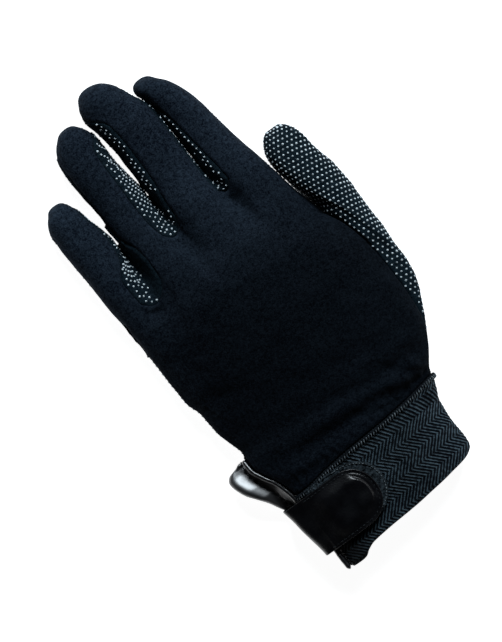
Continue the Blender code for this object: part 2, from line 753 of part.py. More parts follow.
def closed_wall(points, normals, faces, wall, gap, share):
    # Faces outside, a copy inside at the wall's depth and a rim between; the rim is drawn back
    used = sorted({i for ring in faces for i in ring})
    place = {old: new for new, old in enumerate(used)}
    local = [[place[i] for i in ring] for ring in faces]
    outer = points[used].copy()
    normal = normals[used]
    edges = boundary(local)
    open_edges = set(edges)
    inward = np.zeros_like(outer)
    for ring in local:
        centre = outer[ring].mean(axis=0)
        for a, b in zip(ring, ring[1:] + ring[:1]):
            if (a, b) in open_edges:
                along = outer[b] - outer[a]
                along = along / max(np.linalg.norm(along), 1e-12)
                side = centre - outer[a]
                side = side - along * (side @ along)
                side = side / max(np.linalg.norm(side), 1e-12)
                inward[a] += side
                inward[b] += side
    size = np.linalg.norm(inward, axis=1)
    moved = size > 1e-9
    drawn = np.zeros_like(outer)
    wider = 1 + TIP_GAP * (1 - share[used]) / (1 - TIP_WALL)
    drawn[moved] = (inward[moved] / size[moved, None]) * (0.5 * gap * wider[moved])[:, None]
    outer += drawn
    inner = outer - normal * (wall * share[used])[:, None]
    count = len(outer)
    cells = [list(ring) for ring in local]
    cells += [[i + count for i in reversed(ring)] for ring in local]
    # Both sides of a seam split their rim along the same diagonal
    for a, b in edges:
        if a < b:
            cells.append([b, a, a + count, b + count])
        else:
            cells.append([a, a + count, b + count, b])
    return np.concatenate([outer, inner]), cells


def add_object(name, points, cells, colour, roughness):
    mesh = bpy.data.meshes.new(name)
    moved = points - np.array([0.0, REST_ALONG, 0.0])
    mesh.from_pydata(moved.tolist(), [], cells)
    mesh.update()
    mesh.shade_smooth()
    mesh.set_sharp_from_angle(angle=math.radians(50))
    material = bpy.data.materials.new(name)
    material.use_nodes = True
    shader = material.node_tree.nodes["Principled BSDF"]
    shader.inputs["Base Color"].default_value = colour
    shader.inputs["Roughness"].default_value = roughness
    shader.inputs["Metallic"].default_value = 0.0
    mesh.materials.append(material)
    item = bpy.data.objects.new(name, mesh)
    bpy.context.scene.collection.objects.link(item)
    return item


def add_sheet(name, grid, wall, flip, colour, roughness, gap=0.0):
    points, cells, _ = weld([(name, grid, flip)])
    normals = skin_normals(points, cells)
    points, cells = closed_wall(points, normals, cells, wall, gap, np.ones(len(points)))
    return add_object(name, points, cells, colour, roughness)


def cuff_grid():
    # Round the wrist from the vent's back edge over the thumb's side to its palm edge
    t = 0.5 * (1 - np.cos(math.pi * np.arange(CUFF_CELLS + 1) / CUFF_CELLS))
    rows = []
    for j in range(CUFF_ROWS + 1):
        share = j / CUFF_ROWS
        rows.append(np.concatenate([cuff_half(t, share, True),
                                    cuff_half(t, share, False)[::-1][1:]]))
    return np.array(rows)


def cuff_half(across, share, back):
    # One half of the cuff's ring, share 0 at the jersey's seam and 1 at the wrist end
    place = mix(CUFF_ULNAR, CUFF_RADIAL, across)
    seam = CUFF_LENGTH * read(CUFF_ENDS, "seam", place, "across") - CUFF_SEAM_GAP
    wrist = CUFF_LENGTH * read(CUFF_ENDS, "wrist", place, "across")
    y = mix(seam, wrist, share)
    points = body_point(across, y, back)
    points[:, 0] = cuff_x(points[:, 0], share)
    return points


def cuff_x(x, share):
    # The cuff leaves its seam at the hand's width and reaches its own in a third of its length
    return CUFF_MIDDLE + (x - CUFF_MIDDLE) * mix(1.0, CUFF_WIDTH / CUFF_SEAM_WIDTH, ease(share * 3))


def tab_grid(grow, lift, wrap):
    w = np.linspace(-1, 1, TAB_CELLS + 1)
    radius = 0.5 * TAB_WIDTH + grow
    tip_x = TAB_END + grow
    start_x = -0.40 * HAND_WIDTH
    turn = np.linspace(0, 1, 7) if wrap else np.array([])
    run = 1 - (1 - np.linspace(0, 1, TAB_ROWS + 1)) ** 1.5
    rows = []
    for value in turn[:-1]:
        y = TAB_ALONG + w * radius
        edge_x = cuff_x(ulnar_edge(y, False)[0], 1.0)
        x = edge_x - TAB_WIDTH * read(TAB_BEND, "x", value, "turn") + 0.0 * y
        z = CUFF_HEIGHT * read(TAB_BEND, "z", value, "turn") + 0.0 * y
        top = top_height(np.full_like(y, start_x), y) + lift
        last_z = CUFF_HEIGHT * TAB_BEND["z"][-1]
        z = z + (top - last_z) * ease(value)
        rows.append(np.stack([x, y, z], axis=-1))
    first = start_x if wrap else start_x + 0.10 * CUFF_WIDTH
    for value in run:
        x_mid = mix(first, tip_x, value)
        reach = np.clip((tip_x - x_mid) / radius, 0.0, 1.0)
        half = radius * max(math.sqrt(1 - (1 - reach) ** 2.2), 0.18)
        y = TAB_ALONG + w * half
        x = x_mid - 0.012 * TAB_LENGTH * w ** 2 * (1 - reach) + 0.0 * y
        z = top_height(x, y) + lift
        rows.append(np.stack([x, y, z], axis=-1))
    return np.array(rows)


def top_height(x, y):
    # Height of the cuff's outer face over a place on the back
    left_x = ulnar_edge(y, True)[0]
    right_x = radial_edge(y, True)[0]
    across = np.clip((x - left_x) / (right_x - left_x), 0.0, 1.0)
    return body_point(across, y, True)[..., 2]


def facing_grid():
    # Lobe on the palm side of the vent, arched up and outwards
    v = np.linspace(0, 1, 10)
    t = np.linspace(0, 1, 6)
    top = CUFF_LENGTH + VENT_LENGTH - FACING_TOP_GAP
    bottom = TAB_ALONG + 0.5 * TAB_WIDTH + FACING_END_GAP
    rows = []
    for value in v:
        y = np.full_like(t, mix(top, bottom, value))
        edge_x, edge_z = ulnar_edge(y, False)
        out = FACING_WIDTH * float(read(FACING_SHAPE, "out", value))
        high = FACING_HEIGHT * float(read(FACING_SHAPE, "high", value))
        x = edge_x - FACING_GAP - out * t
        z = edge_z + high * (0.10 + 0.62 * np.sin(math.pi * np.minimum(t * 0.78, 1.0)) - 0.30 * t)
        rows.append(np.stack([x, y, z], axis=-1))
    return np.array(rows)


def add_piping(colour, roughness):
    # Rolled edge along the back's side of the vent, from its top to the wrist end
    sides = PIPING_SIDES
    count = PIPING_ROWS
    y = np.linspace(PIPING_TOP, PIPING_END, count)
    edge_x, edge_z = ulnar_edge(y, True)
    edge_x = cuff_x(edge_x, 1 - y / CUFF_LENGTH)
    radius = 0.5 * PIPING_WIDTH
    taper = np.sqrt(np.clip(np.minimum(np.arange(count) + 0.6,
                                       count - np.arange(count) - 0.4) / 2.0, 0.1, 1.0))
    centre = np.stack([edge_x - radius - PIPING_GAP, y, edge_z - 0.45 * radius], axis=-1)
    heading = np.gradient(centre, axis=0)
    heading /= np.linalg.norm(heading, axis=1, keepdims=True)
    up = np.array([0.0, 0.0, 1.0])
    side = np.cross(heading, up)
    side /= np.linalg.norm(side, axis=1, keepdims=True)
    lift = np.cross(side, heading)
    turn = 2 * math.pi * np.arange(sides) / sides
    ring = (side[:, None] * np.cos(turn)[None, :, None] + lift[:, None] * np.sin(turn)[None, :, None])
    points = centre[:, None] + radius * taper[:, None, None] * ring
    cells = []
    for i in range(count - 1):
        for k in range(sides):
            n = (k + 1) % sides
            cells.append([i * sides + k, i * sides + n, (i + 1) * sides + n, (i + 1) * sides + k])
    cells.append(list(range(sides))[::-1])
    cells.append([(count - 1) * sides + k for k in range(sides)])
    flat = points.reshape(-1, 3)
    if signed_volume(flat, cells) < 0:
        cells = [cell[::-1] for cell in cells]
    return add_object("vent_piping", flat, cells, colour, roughness)


def signed_volume(points, cells):
    total = 0.0
    for cell in cells:
        for k in range(1, len(cell) - 1):
            total += np.dot(points[cell[0]], np.cross(points[cell[k]], points[cell[k + 1]])) / 6
    return total


for old in list(bpy.data.objects):
    bpy.data.objects.remove(old, do_unlink=True)

BLACK = (0.012, 0.014, 0.018, 1.0)
DOTTED = (0.030, 0.032, 0.036, 1.0)
GLOSS = (0.008, 0.009, 0.011, 1.0)

fingers = [finger_rows(f) for f in range(4)]
back_body = body_grid(fingers, True)
palm_body = body_grid(fingers, False)

patches = [("back_panel", back_body, False), ("palm_panel", palm_body, True)]
WEB_NAMES = ("fourchette_little_ring", "fourchette_ring_middle", "fourchette_middle_index")
column = 0
for f in range(4):
    grids = fingers[f]
    patches.append(("back_panel", grids["back"], False))
    patches.append(("palm_panel", grids["palm"], False))
    walls = slice(0, WALL_END + 2)
    if f < 3:
        patches.append((WEB_NAMES[f], grids["radial"][walls], False))
    if f > 0:
        patches.append((WEB_NAMES[f - 1], grids["ulnar"][walls], False))
    column += FINGER_CELLS[f]
    if f < 3:
        span = slice(column, column + SLOT_CELLS + 1)
        web = web_grid(fingers, f, back_body[-1, span], palm_body[-1, span])
        patches.append((WEB_NAMES[f], web, False))
        column += SLOT_CELLS
patches.append(("thumb", thumb_grid(), True))

skin, skin_faces, skin_names = weld(patches)
skin_normal = skin_normals(skin, skin_faces)
skin_share = wall_share(skin)
LOOKS = {
    "back_panel": (BLACK, 0.80),
    "palm_panel": (DOTTED, 0.75),
    "thumb": (DOTTED, 0.75),
}
for name in ("back_panel", "palm_panel", "thumb") + WEB_NAMES:
    mine = [ring for ring, owner in zip(skin_faces, skin_names) if owner == name]
    points, cells = closed_wall(skin, skin_normal, mine, JERSEY, SEAM_GAP, skin_share)
    colour, roughness = LOOKS.get(name, (DOTTED, 0.75))
    add_object(name, points, cells, colour, roughness)

add_sheet("cuff_band", cuff_grid(), ELASTIC, True, BLACK, 0.70)
PATCH_LIFT = SEAM_GAP + LOOP_PILE
TAB_LIFT = PATCH_LIFT + SEAM_GAP + LEATHER
add_sheet("loop_patch", tab_grid(PATCH_MARGIN, PATCH_LIFT, False), LOOP_PILE, True, BLACK, 0.90)
add_sheet("closure_tab", tab_grid(0.0, TAB_LIFT, True), LEATHER, True, GLOSS, 0.35)
add_sheet("vent_facing", facing_grid(), LEATHER, False, GLOSS, 0.25)
add_piping(GLOSS, 0.30)
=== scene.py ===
import math

import bpy
import numpy as np
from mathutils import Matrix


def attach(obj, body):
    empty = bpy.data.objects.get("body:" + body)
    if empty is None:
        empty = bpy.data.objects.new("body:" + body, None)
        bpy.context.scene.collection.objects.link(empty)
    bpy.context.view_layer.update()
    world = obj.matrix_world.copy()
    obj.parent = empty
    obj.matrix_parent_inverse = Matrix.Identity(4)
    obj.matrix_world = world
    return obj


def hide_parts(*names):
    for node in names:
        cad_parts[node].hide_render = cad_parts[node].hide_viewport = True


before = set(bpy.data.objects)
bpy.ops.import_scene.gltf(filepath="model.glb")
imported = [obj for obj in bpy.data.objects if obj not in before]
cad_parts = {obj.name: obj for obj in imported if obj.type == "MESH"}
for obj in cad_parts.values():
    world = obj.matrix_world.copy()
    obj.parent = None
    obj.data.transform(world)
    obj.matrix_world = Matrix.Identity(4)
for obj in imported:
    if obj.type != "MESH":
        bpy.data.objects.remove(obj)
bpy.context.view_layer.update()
fine = 7  # cells of the surface for one cell of the solid

# The glove lies palm down: +Y to the fingers, +X to the thumb, +Z up, all in metres
hand = {
    "cuffLength": 0.040, "palmLength": 0.120, "ventLength": 0.0255, "restAlong": 0.110,
    "thumbRootLength": 0.0845, "thumbLength": 0.0453, "thumbWidth": 0.0220, "thumbHeight": 0.0185,
    "fingerLength": (0.0467, 0.0717, 0.0803, 0.0695),
    "fingerWidth": (0.0207, 0.0230, 0.0258, 0.0212),
    "fingerHeight": (0.0165, 0.0190, 0.0205, 0.0190),
    "fingerGap": (0.0015, 0.0009, 0.0008),
    "handHeight": 0.0265, "cuffHeight": 0.0190, "cuffWidth": 0.0812,
}
handWidth = sum(hand["fingerWidth"]) + sum(hand["fingerGap"])
knuckle = hand["cuffLength"] + hand["palmLength"]
ulnarStart = -0.591 * handWidth
fingerStart = [sum(hand["fingerWidth"][:f]) + sum(hand["fingerGap"][:f]) for f in range(4)]


def shapeTable(names, *rows):
    # Named columns of one short table
    return dict(zip(names.split(), np.array(rows, dtype=float).T))


def curveThrough(xs, ys, x):
    # Cubic through the rows of a table that never overshoots them
    x = np.clip(np.asarray(x, dtype=float), xs[0], xs[-1])
    step = np.diff(xs)
    slope = np.diff(ys) / step
    same = slope[:-1] * slope[1:] > 0
    total = np.where(same, slope[:-1] + slope[1:], 1.0)
    mean = np.zeros(len(xs))
    mean[1:-1] = np.where(same, 2.0 * slope[:-1] * slope[1:] / total, 0.0)
    mean[0], mean[-1] = slope[0], slope[-1]
    i = np.clip(np.searchsorted(xs, x, side="right") - 1, 0, len(xs) - 2)
    t = (x - xs[i]) / step[i]
    low = ys[i] * (1 + 2 * t) * (1 - t) ** 2
    high = ys[i + 1] * t * t * (3 - 2 * t)
    return low + high + step[i] * (mean[i] * t * (1 - t) ** 2 - mean[i + 1] * t * t * (1 - t))


def read(rows, column, x, first="along"):
    return curveThrough(rows[first], rows[column], x)


def mix(a, b, t):
    return a + (b - a) * t


def ease(t):
    t = np.clip(t, 0.0, 1.0)
    return t * t * (3 - 2 * t)


def bell(x):
    return np.exp(-x * x)


def signedPower(value, exponent):
    return np.sign(value) * np.abs(value) ** exponent


def waves(points, size, seed, count=14):
    # Soft random swell: a sum of plane waves in random directions, each about size long
    dice = np.random.default_rng(seed)
    total = np.zeros(points.shape[:-1])
    for _ in range(count):
        heading = dice.normal(size=3)
        heading /= np.linalg.norm(heading)
        length = size * dice.uniform(0.6, 1.6)
        total += np.sin(2 * math.pi * (points @ heading) / length + dice.uniform(0, 2 * math.pi))
    return total / math.sqrt(count)


# Fingers: along is a share of the finger's length from the knuckle line, shift and wide are
# shares of its width, high of its height; ulnar and radial are the back seams' insets
fingerColumns = "along shift wide high ulnar radial"
fingerShapes = (
    shapeTable(
        fingerColumns,
        (-0.40, 0.050, 0.96, 1.00, -1, 0.36), (0.00, 0.024, 0.99, 1.00, -1, 0.40),
        (0.10, 0.016, 1.00, 0.99, -1, 0.25), (0.18, 0.010, 1.00, 0.98, -1, 0.12),
        (0.34, -0.005, 1.01, 0.95, -1, 0.04), (0.56, -0.041, 0.98, 0.89, -1, 0.03),
        (0.66, -0.073, 0.916, 0.86, -1, 0.03), (0.77, -0.100, 0.856, 0.82, -1, 0.03),
        (0.88, -0.092, 0.67, 0.72, -1, 0.03), (0.94, -0.077, 0.49, 0.58, -1, 0.03),
        (1.00, -0.075, 0.30, 0.00, -1, 0.03)),
    shapeTable(
        fingerColumns,
        (-0.30, 0.000, 1.00, 1.02, 0.19, 0.15), (0.00, 0.000, 1.00, 1.00, 0.26, 0.16),
        (0.12, 0.005, 1.00, 0.97, 0.21, 0.26), (0.22, 0.010, 1.00, 0.94, 0.05, 0.33),
        (0.36, 0.013, 1.00, 0.90, 0.03, 0.34), (0.50, -0.015, 0.98, 0.86, 0.03, 0.30),
        (0.64, -0.050, 0.95, 0.83, 0.03, 0.26), (0.78, -0.057, 0.95, 0.80, 0.03, 0.23),
        (0.85, -0.046, 0.90, 0.76, 0.03, 0.22), (0.92, -0.033, 0.69, 0.66, 0.03, 0.14),
        (0.96, -0.020, 0.49, 0.52, 0.03, 0.08), (1.00, -0.010, 0.28, 0.00, 0.03, 0.03)),
    shapeTable(
        fingerColumns,
        (-0.30, 0.030, 1.05, 1.04, 0.04, 0.02), (0.03, 0.036, 1.06, 1.00, 0.04, 0.02),
        (0.11, 0.020, 1.03, 0.98, 0.13, 0.03), (0.20, 0.005, 1.01, 0.95, 0.14, 0.03),
        (0.36, 0.000, 1.00, 0.90, 0.20, 0.03), (0.57, -0.009, 1.012, 0.86, 0.22, 0.03),
        (0.70, -0.039, 1.024, 0.83, 0.23, 0.03), (0.76, -0.084, 0.982, 0.81, 0.23, 0.03),
        (0.82, -0.156, 0.93, 0.79, 0.23, 0.03), (0.89, -0.200, 0.84, 0.73, 0.20, 0.03),
        (0.95, -0.230, 0.61, 0.59, 0.12, 0.03), (1.00, -0.270, 0.28, 0.00, 0.03, 0.03)),
    shapeTable(
        fingerColumns,
        (-0.30, 0.200, 1.12, 1.03, 0.22, -1), (0.00, 0.160, 1.07, 1.00, 0.22, -1),
        (0.12, 0.080, 1.08, 0.97, 0.23, -1), (0.23, 0.014, 1.054, 0.95, 0.26, -1),
        (0.37, -0.044, 0.99, 0.91, 0.24, -1), (0.52, -0.087, 0.916, 0.87, 0.20, -1),
        (0.66, -0.123, 0.862, 0.84, 0.16, -1), (0.73, -0.152, 0.804, 0.82, 0.12, -1),
        (0.81, -0.222, 0.724, 0.79, 0.06, -1), (0.88, -0.312, 0.666, 0.74, 0.03, -1),
        (0.94, -0.420, 0.56, 0.62, 0.03, -1), (1.00, -0.455, 0.30, 0.00, 0.03, -1)),
)
# Where the slots in the back and the crotches in the palm lie, past the knuckle line
slots = {
    "ulnar": (-0.110, 0.045, 0.060), "radial": (-0.085, 0.040, 0.070),
    "depth": (0.040, 0.024, 0.028), "crotch": (0.146, 0.222, 0.235), "crotchDepth": 0.010,
    "steep": (0.0, 0.9, 1.0), "sideUlnar": -0.125, "sideRadial": 0.030, "dip": 0.03,
}
section = {
    "side": 0.42, "over": 0.90, "under": 0.55, "crown": 0.04, "pad": 1.06, "padPower": 0.60,
    "tipSink": 0.55, "tipBow": 0.034, "closing": 2.6, "palmSeam": math.radians(30),
    "leastTurn": math.radians(8), "rowPower": 1.4, "rows": 13, "wallEnd": 10,
    "cells": (5, 4, 4, 5), "slotCells": 4, "wallCells": 4, "bodyRows": 18, "ventRows": 5,
    "thumbRows": 12, "dome": 2.3, "palmFlat": 0.50, "knuckleFade": 0.24, "crotchFade": 0.065,
}
ulnarSide = shapeTable(
    "along back_x palm_x back_z palm_z",
    (-0.42, -0.380, -0.396, 0.50, 0.16), (-0.34, -0.386, -0.397, 0.50, 0.16),
    (-0.27, -0.389, -0.400, 0.50, 0.16), (-0.17, -0.396, -0.419, 0.51, 0.16),
    (-0.04, -0.399, -0.446, 0.51, 0.16), (0.05, -0.426, -0.474, 0.49, 0.17),
    (0.10, -0.462, -0.496, 0.46, 0.20), (0.15, -0.488, -0.512, 0.42, 0.25),
    (0.18, -0.490, -0.508, 0.38, 0.29), (0.2125, -0.484, -0.484, 0.34, 0.34),
    (0.26, -0.501, -0.501, 0.34, 0.34), (0.34, -0.527, -0.527, 0.34, 0.34),
    (0.43, -0.531, -0.531, 0.34, 0.34), (0.49, -0.559, -0.559, 0.34, 0.34),
    (0.60, -0.564, -0.564, 0.33, 0.33), (0.80, -0.563, -0.563, 0.30, 0.30),
    (0.90, -0.562, -0.562, 0.26, 0.26), (1.00, -0.575, -0.575, 0.26, 0.26),
    (1.25, -0.596, -0.596, 0.26, 0.26))
radialSide = shapeTable(
    "along x z",
    (-0.34, 0.400, 0.30), (-0.29, 0.411, 0.30), (-0.16, 0.416, 0.30), (-0.07, 0.421, 0.30),
    (-0.02, 0.449, 0.30), (0.008, 0.465, 0.30), (0.03, 0.472, 0.30), (0.05, 0.476, 0.31),
    (0.76, 0.518, 0.32), (0.88, 0.480, 0.31), (1.00, 0.452, 0.30), (1.03, 0.444, 0.30),
    (1.13, 0.417, 0.30), (1.25, 0.386, 0.30))
crest = shapeTable(
    "along high",
    (-0.36, 0.70), (-0.20, 0.72), (0.00, 0.76), (0.12, 0.84), (0.30, 0.93), (0.50, 1.00),
    (0.72, 0.99), (0.90, 0.87), (1.05, 0.78), (1.25, 0.74))
cuffEnds = shapeTable(
    "across seam wrist",
    (-0.47, 0.905, -0.108), (-0.37, 0.92, -0.106), (-0.335, 0.925, -0.096), (-0.297, 0.938, -0.046),
    (-0.25, 0.955, -0.010), (-0.12, 0.985, 0.014), (0.02, 1.000, 0.024), (0.15, 1.015, 0.046),
    (0.31, 1.050, 0.080), (0.41, 1.080, 0.112), (0.45, 1.091, 0.150), (0.47, 1.098, 0.185))
cuffSpan = (-0.42, 0.46)  # the cuff's two sides, across the hand
# Thumb: the two sides of each ring from its root to its tip
thumbShape = shapeTable(
    "along outer_x outer_y inner_x inner_y lean high side",
    (0.00, 0.020, 0.000, 0.210, 1.000, 0.470, 0.90, 0.48),
    (0.14, 0.480, 0.210, 0.223, 1.039, 0.430, 0.95, 0.47),
    (0.30, 0.790, 0.380, 0.180, 1.086, 0.330, 1.00, 0.46),
    (0.46, 0.950, 0.540, 0.140, 1.139, 0.200, 1.02, 0.45),
    (0.60, 0.995, 0.730, 0.055, 1.204, 0.100, 1.02, 0.44),
    (0.72, 1.025, 0.960, 0.000, 1.275, 0.040, 1.00, 0.43),
    (0.82, 1.015, 1.133, -0.040, 1.340, 0.000, 0.96, 0.43),
    (0.90, 0.890, 1.298, -0.045, 1.402, 0.000, 0.88, 0.43),
    (0.95, 0.800, 1.428, 0.035, 1.458, 0.000, 0.74, 0.43),
    (0.98, 0.690, 1.490, 0.130, 1.501, 0.000, 0.55, 0.43),
    (1.00, 0.540, 1.522, 0.280, 1.525, 0.000, 0.00, 0.43))
thumbSeam = shapeTable(
    "along back palm",
    (0.00, 0.00, 0.00), (0.12, 0.62, 0.45), (0.22, 0.95, 0.75), (0.33, 1.03, 0.92),
    (0.50, 1.00, 1.00), (0.72, 0.82, 0.95), (0.88, 0.50, 0.65), (1.00, 0.00, 0.00))
thumbForm = {
    "edge": 0.458, "edgeGap": 0.0011, "base": 0.052, "past": 0.525, "tipBow": 0.0008, "rootFade": 0.30,
    "round": 0.85, "flat": 0.66, "full": 4.0, "fullFrom": 0.10, "fullTo": 0.62, "fullFade": 0.25,
    "belly": 1.1, "sideFall": 0.3, "tipSteps": (0.90, 0.94, 0.97, 0.99, 1.0),
}
crossFolds = {"high": 0.035, "pitch": 0.105, "slant": 0.9, "place": 0.13, "run": 0.11, "share": (0.7, 1.3)}


def fingerPoint(f, y, angle):
    # Section of finger f at y: a circle raised to a power, round over the back, squarer below
    shape, length = fingerShapes[f], hand["fingerLength"][f]
    width, height = hand["fingerWidth"][f], hand["fingerHeight"][f]
    along = (y - knuckle) / length
    centre = ulnarStart + fingerStart[f] + width * (0.5 + read(shape, "shift", along))
    half = 0.5 * width * np.sqrt(curveThrough(shape["along"], shape["wide"] ** 2, along))
    tall = height * np.sqrt(np.maximum(curveThrough(shape["along"], shape["high"] ** 2, along), 0.0))
    c, s = np.cos(angle), np.sin(angle)
    upper = s >= -1e-9
    x = centre + half * np.where(upper, signedPower(c, section["over"]), signedPower(c, section["under"]))
    mid = section["side"] * (height - (height - tall) * section["tipSink"])
    down = np.minimum(section["pad"] * section["side"] * tall, mid)
    bottom = np.maximum(mid - section["pad"] * down * np.abs(s) ** section["padPower"], 0.0)
    top = mid + tall * (1 + section["crown"] - section["side"]) * np.abs(s) ** section["over"]
    return np.stack(np.broadcast_arrays(x, y, np.where(upper, top, bottom)), axis=-1)


def rootY(f):
    # Where finger f starts: back ulnar and radial, palm radial and ulnar
    shares = (slots["radial"][f - 1] if f > 0 else slots["sideUlnar"],
              slots["ulnar"][f] if f < 3 else slots["sideRadial"],
              slots["crotch"][f] if f < 3 else slots["sideRadial"],
              slots["crotch"][f - 1] if f > 0 else slots["sideUlnar"])
    return [knuckle + hand["palmLength"] * share for share in shares]


def wallSkew(t, steep):
    return mix(ease(t), np.sin(0.5 * math.pi * t), steep)


def fingerGrids(f):
    # Back, radial wall, palm and ulnar wall of one finger, each a grid of rows to the tip
    backU, backR, palmR, palmU = rootY(f)
    shape, length = fingerShapes[f], hand["fingerLength"][f]
    tip = knuckle + length
    rows = section["rows"]
    j = np.linspace(0, rows, rows * fine + 1)[:, None]
    share = 1 - (1 - j / rows) ** section["rowPower"]
    closing = ease((section["wallEnd"] + 1 - j) / section["closing"])

    def seamTurn(side, y0):
        # Angle of the back's and the palm's seam where the seam really is
        if shape[side][0] < 0:
            return 0 * closing, 0 * closing
        inset = read(shape, side, (mix(y0, tip, share) - knuckle) / length)
        cosine = np.maximum(0.0, 1 - 2 * inset) ** (1 / section["over"])
        turn = np.maximum(np.arccos(np.minimum(cosine, 1.0)), section["leastTurn"])
        return turn * closing, section["palmSeam"] * closing

    ulnarBack, ulnarPalm = seamTurn("ulnar", backU)
    radialBack, radialPalm = seamTurn("radial", backR)
    wide = section["cells"][f]
    runs = {
        "back": (math.pi - ulnarBack, radialBack, backU, backR, wide),
        "radial": (radialBack, -radialPalm, backR, palmR, section["wallCells"]),
        "palm": (-radialPalm, ulnarPalm - math.pi, palmR, palmU, wide),
        "ulnar": (ulnarPalm - math.pi, -math.pi - ulnarBack, palmU, backU, section["wallCells"]),
    }
    bow = section["tipBow"] * length
    grids = {}
    for name, (a0, a1, y0, y1, count) in runs.items():
        t = np.linspace(0, 1, count * fine + 1)[None, :]
        skew, tipY = t, tip - bow
        if name in ("back", "palm"):
            tipY = tip - bow * (2 * t - 1) ** 2
        elif name == "radial":
            skew = wallSkew(t, slots["steep"][min(f, 2)])
        else:
            skew = 1 - wallSkew(1 - t, slots["steep"][max(f - 1, 0)])
        # Towards the walls' ends all four sides come to the same rows
        start = mix(mix(y0, y1, skew), knuckle, ease((j - 3) / (section["wallEnd"] - 2)))
        y = mix(start, tipY, share)
        grids[name] = fingerPoint(f, y, mix(a0, a1, t))
    # Over the last rows back and palm round into one line, the seam round the tip
    turn = np.clip(j - (rows - 1), 0, 1)[..., None]
    nose = 1 - np.sqrt(np.maximum(1 - turn ** 2, 0))
    middle = 0.5 * (grids["back"] + grids["palm"][:, ::-1])
    grids["back"] = mix(grids["back"], middle, nose)
    grids["palm"] = mix(grids["palm"], middle[:, ::-1], nose)
    return grids


def slotArc(start, end, depth, dip):
    # Round bottom between two fingers: a straight line plus half a sine wave
    t = np.linspace(0, 1, section["slotCells"] * fine + 1)[:, None]
    arc = mix(start, end, t)
    arc[:, 1] -= depth * np.sin(math.pi * t[:, 0])
    arc[:, 2] -= dip * np.sin(math.pi * t[:, 0])
    return arc


def palmShare(y):
    return (y - hand["cuffLength"]) / hand["palmLength"]


def thumbRing(v, angle):
    # Ring of the thumb at share v of its way out; angle 0 is outside, a quarter turn the back:
    # a full dome of the angle's cosine above, a squarer curve down to the floor below
    edge = thumbForm["edge"] * handWidth + thumbForm["edgeGap"]
    base = hand["cuffLength"] + thumbForm["base"] * hand["palmLength"]
    wide = hand["thumbWidth"]

    def side(name):
        run = read(thumbShape, name + "_y", v)
        y = base + hand["thumbRootLength"] * np.minimum(run, 1.0)
        y = y + hand["thumbLength"] / thumbForm["past"] * np.maximum(run - 1.0, 0.0)
        return edge + wide * read(thumbShape, name + "_x", v), y

    outerX, outerY = side("outer")
    innerX, innerY = side("inner")
    c, s = np.cos(angle), np.sin(angle)
    along = 0.5 * (1 - c)
    seam = np.where(s >= 0, read(thumbSeam, "back", along), read(thumbSeam, "palm", along))
    nearRoot = ease(1 - v / thumbForm["rootFade"])
    lean = wide * read(thumbShape, "lean", v) * mix(s, np.sign(s) * seam, nearRoot)
    tall = hand["thumbHeight"]
    high = tall * np.sqrt(np.maximum(curveThrough(thumbShape["along"], thumbShape["high"] ** 2, v), 0.0))
    level = tall * read(thumbShape, "side", v)
    up = np.maximum(high - level * high / tall, 0.0)
    mid = level * mix(1.0, high / tall, thumbForm["sideFall"])
    down = np.minimum(thumbForm["belly"] * level * high / tall, mid)
    # The back stays high up to the inner side where the rings cross the hand's edge
    flat = mix(thumbForm["round"], thumbForm["flat"], ease(v / thumbForm["rootFade"]))
    fuller = ease(v / thumbForm["fullFrom"]) * ease((thumbForm["fullTo"] - v) / thumbForm["fullFade"])
    full = np.where(c < 0, 2.0 + thumbForm["full"] * fuller, 2.0)
    dome = np.maximum(1 - np.abs(c) ** full, 0.0) ** (0.5 * flat)
    under = np.maximum(mid - section["pad"] * down * np.abs(s) ** section["padPower"], 0.0)
    z = np.where(s >= 0, mid + up * dome, under)
    x = 0.5 * (outerX + innerX) + 0.5 * (outerX - innerX) * c + lean
    y = 0.5 * (outerY + innerY) + 0.5 * (outerY - innerY) * c
    return np.stack(np.broadcast_arrays(x, y, z), axis=-1)


def rootAngles():
    # Angles of the root ring at the hand's rows, between even lengths and even turns
    k = np.linspace(0, 1, section["thumbRows"] * fine + 1)
    return np.arccos(1 - 2 * mix(k, 0.5 * (1 - np.cos(math.pi * k)), 0.6))


def sideRows():
    # y of the body's rows at the ulnar and at the radial side
    seamU, seamR = (hand["cuffLength"] * float(read(cuffEnds, "seam", end, "across")) for end in cuffSpan)
    ventTop = hand["cuffLength"] + hand["ventLength"]
    rows, vent, thumb = section["bodyRows"], section["ventRows"], section["thumbRows"]
    lastU = knuckle + hand["palmLength"] * slots["sideUlnar"]
    lastR = knuckle + hand["palmLength"] * slots["sideRadial"]
    ulnar = np.concatenate([np.linspace(seamU, ventTop, vent * fine + 1),
                            np.linspace(ventTop, lastU, (rows - vent) * fine + 1)[1:]])
    ring = thumbRing(0.0, rootAngles())[:, 1]
    radial = np.concatenate([np.linspace(seamR, ring[0], fine + 1)[:-1], ring,
                             np.linspace(ring[-1], lastR, (rows - thumb - 1) * fine + 1)[1:]])
    return ulnar, radial


def radialEdge(y, back):
    # x and z of the hand's radial edge: the thumb's root seam, and the side seam elsewhere
    angles = rootAngles()
    ring = thumbRing(0.0, angles if back else -angles)
    inside = (y > ring[0, 1]) & (y < ring[-1, 1])
    x = handWidth * read(radialSide, "x", palmShare(y))
    z = hand["handHeight"] * read(radialSide, "z", palmShare(y))
    return (np.where(inside, np.interp(y, ring[:, 1], ring[:, 0]), x),
            np.where(inside, np.interp(y, ring[:, 1], ring[:, 2]), z))


def ulnarEdge(y, back):
    name = "back" if back else "palm"
    return (handWidth * read(ulnarSide, name + "_x", palmShare(y)),
            hand["handHeight"] * read(ulnarSide, name + "_z", palmShare(y)))


